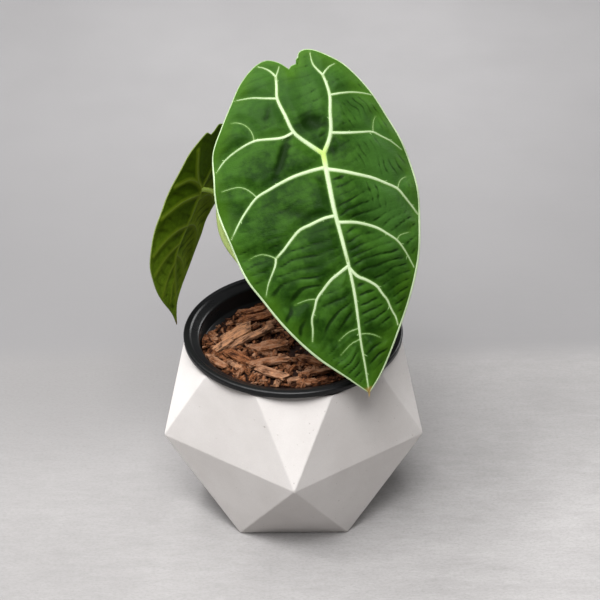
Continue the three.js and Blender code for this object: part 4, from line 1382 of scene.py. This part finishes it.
def buildStalk(sheet, given):
    line, ring = lineAndRing(sheet, given)
    run = sheet.add("GeometryNodeSplineParameter")["Factor"]
    line = keepValue(sheet, line, "alongStalk", run)
    ring = keepValue(sheet, ring, "aroundStalk", abs(run * 2 - 1.0))
    stalk = drawAlong(sheet, line, ring)
    # low unevenness, so that the stalk isn't a pipe
    uneven = sheet.noise(sheet.add("GeometryNodeInputPosition"), given["Uneven Scale"], 2, 0.5)
    push = sheet.add("ShaderNodeVectorMath", {"operation": "SCALE"}, {
        "Vector": sheet.add("GeometryNodeInputNormal"), "Scale": (uneven - 0.5) * given["Unevenness"]})
    stalk = sheet.add("GeometryNodeSetPosition", None, {"Geometry": stalk, "Offset": push})
    return smoothShade(sheet, stalk)


def makeStalks(look):
    material = stalkFinish(look)
    count = look["pieces"]
    for side in ("front", "rear"):
        radii = look[side]["radii"]
        half = np.interp(np.linspace(0, 1, count + 1), np.linspace(0, 1, len(radii)), radii)
        stalk = newObject(f"{side}_petiole_stalk", roundedLine(look[side]["path"], count),
                          edges=[(i, i + 1) for i in range(count)])
        storeValues(stalk.data, "halfWidth", "FLOAT", half * mm)
        growOn(stalk, "petioleSweep", buildStalk, {
            "Step": look["step"] * mm, "Sides": look["sides"], "Uneven Scale": look["unevenScale"],
            "Unevenness": look["unevenness"] * mm, "Finish": material})
        standFor(stalk, f"{side}_leaf_petiole", "petiole")


# camera, floor and light

cameraLook = {
    "place": (-8.13, -957.112, 754.141),
    "right": (0.99992849, -0.01193528, 0.00075574),
    "up": (0.00590023, 0.54731002, 0.83690915),
    "ahead": (0.01040237, 0.83684484, -0.5473413),
    "sensor": 36,
    "lens": 126.77,
    "clip": (0.05, 20),
}


def makeCamera(look):
    camera = bpy.data.objects.new("camera", bpy.data.cameras.new("camera"))
    bpy.context.scene.collection.objects.link(camera)
    axes = Vector(look["right"]), Vector(look["up"]), -Vector(look["ahead"])
    turn = Matrix(axes).transposed().to_4x4()
    camera.matrix_world = Matrix.Translation(Vector(look["place"]) * mm) @ turn
    camera.data.sensor_width = look["sensor"]
    camera.data.lens = look["lens"]
    camera.data.clip_start, camera.data.clip_end = look["clip"]
    bpy.context.scene.camera = camera


floorLook = {
    "reach": 4000,
    "pale": (0.322, 0.312, 0.309, 1),
    "shade": (0.228, 0.220, 0.217, 1),
    "left": (0.185, 0.179, 0.177, 1),
    "far": (0.172, 0.167, 0.166, 1),
    "back": (0.178, 0.174, 0.176, 1),
    "backTop": (0.268, 0.262, 0.265, 1),
    "backSide": (0.145, 0.142, 0.144, 1),
    "grain": (0.130, 0.124, 0.121, 1),
    "gloss": 0.3,
}


def makeFloor(look):
    corners = [(x * look["reach"], y * look["reach"], 0) for x, y in ((-1, -1), (1, -1), (1, 1), (-1, 1))]
    floor = newObject("floor", corners, faces=[(0, 1, 2, 3)])
    sheet = newFinish("paleFloor")
    place = sheet.place()
    x, y = sheet.apart(place)[:2]
    # trowel marks run from side to side over broad clouds
    clouds = sheet.noise(place, 9, 8, 0.68)
    trowel = sheet.noise(sheet.stretch(place, (26, 110, 1), (0, 0, 0.06)), 1.0, 8, 0.74, 0.5)
    streaks = sheet.noise(sheet.stretch(place, (90, 330, 1), (0, 0, -0.05)), 1.0, 5, 0.7, 0.6)
    # behind the planter the floor turns into a darker backdrop, painted lighter further back and darker to
    # the sides: painted light and painted shade
    backdrop = sheet.coats(
        look["back"], look,
        ("backTop", sheet.between(y, 0.15, 0.6)),
        ("backSide", sheet.between(clouds, 0.3, 0.7, 0.10, 0.0)),
        ("backSide", sheet.between(abs(x - 0.02), 0.07, 0.26, 0.0, 0.36)))
    grain = sheet.noise(sheet.stretch(place, (500, 900, 1)), 1.0, 3, 0.7)
    color = sheet.coats(
        look["shade"], look,
        ("pale", sheet.between(clouds * 0.4 + trowel * 0.3 + streaks * 0.3, 0.30, 0.70)),
        # darker to the left and towards the back: painted shade
        ("left", sheet.between(x, 0.10, -0.14, 0.0, 0.38)),
        ("far", sheet.between(y, -0.05, 0.10, 0.0, 0.85) * sheet.between(x, 0.02, 0.14, 1.0, 0.55)))
    color = sheet.tint(sheet.between(y, 0.12, 0.15, 0.0, 0.9), color, backdrop)
    near = sheet.between(y, 0.15, 0.11, 0.06, 0.30)
    color = sheet.tint(sheet.between(grain, 0.40, 0.75) * near, color, look["grain"])
    rough = sheet.between(clouds, 0.2, 0.8, 0.6, 0.8)
    dress(floor, closeFinish(sheet, color, rough, streaks, 0.1, 0.4, look["gloss"]))
    floor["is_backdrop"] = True


# each lamp: how far round from the front towards the right, how high, both in degrees, and its power
lampLook = {
    "lamps": {
        "front": (0, 60, 29.0),
        "frontLeft": (330, 60, 10.0),
        "frontRight": (40, 60, 2.5),
        "left": (300, 60, 19.0),
        "leftSide": (270, 60, 11.0),
        "leftLow": (240, 42, 7.0),
        "backLeft": (210, 60, 17.0),
        "backRight": (135, 20, 12.0),
    },
    "size": 0.7,
    "away": 1.7,
    "aim": (0, 0, 0.12),
    "world": 0.03,
}


def makeLamps(look):
    aim = Vector(look["aim"])
    for name, (turn, rise, watts) in look["lamps"].items():
        data = bpy.data.lights.new(name + "Lamp", "AREA")
        data.shape = "SQUARE"
        data.size = look["size"]
        data.energy = watts
        lamp = bpy.data.objects.new(name + "Lamp", data)
        bpy.context.scene.collection.objects.link(lamp)
        turn, rise = math.radians(turn), math.radians(rise)
        way = Vector((math.sin(turn) * math.cos(rise), -math.cos(turn) * math.cos(rise), math.sin(rise)))
        lamp.location = aim + way * look["away"]
        lamp.rotation_euler = (-way).to_track_quat("-Z", "Y").to_euler()
    world = bpy.data.worlds.new("studio")
    world.use_nodes = True
    sheet = NodeSheet(world.node_tree)
    sky = sheet.add("ShaderNodeBackground", None, {"Color": (1, 1, 1, 1), "Strength": look["world"]})
    sheet.add("ShaderNodeOutputWorld", None, {"Surface": sky})
    bpy.context.scene.world = world
    bpy.context.scene.view_settings.view_transform = "Standard"


makeCamera(cameraLook)
makeFloor(floorLook)
makeLamps(lampLook)
print("stage set")

makePlanter(planterLook)
makeNurseryPot(potLook)
print("planter and nursery pot made")
makeBark(barkLook)
print("bark scattered")
makeStalks(stalkLook)
for leaf, bladeLook, veinLook in ((frontLeaf, frontBladeLook, frontVeinLook),
                                  (rearLeaf, rearBladeLook, rearVeinLook)):
    makeBlade(leaf, bladeFinish(leaf, bladeLook))
    makeVeins(leaf, ribLook, veinFinish(leaf, veinLook))
print("stalks and leaves made")

low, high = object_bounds()
{"cad": [list(cadBox[0]), list(cadBox[1])], "visual": [list(low), list(high)]}
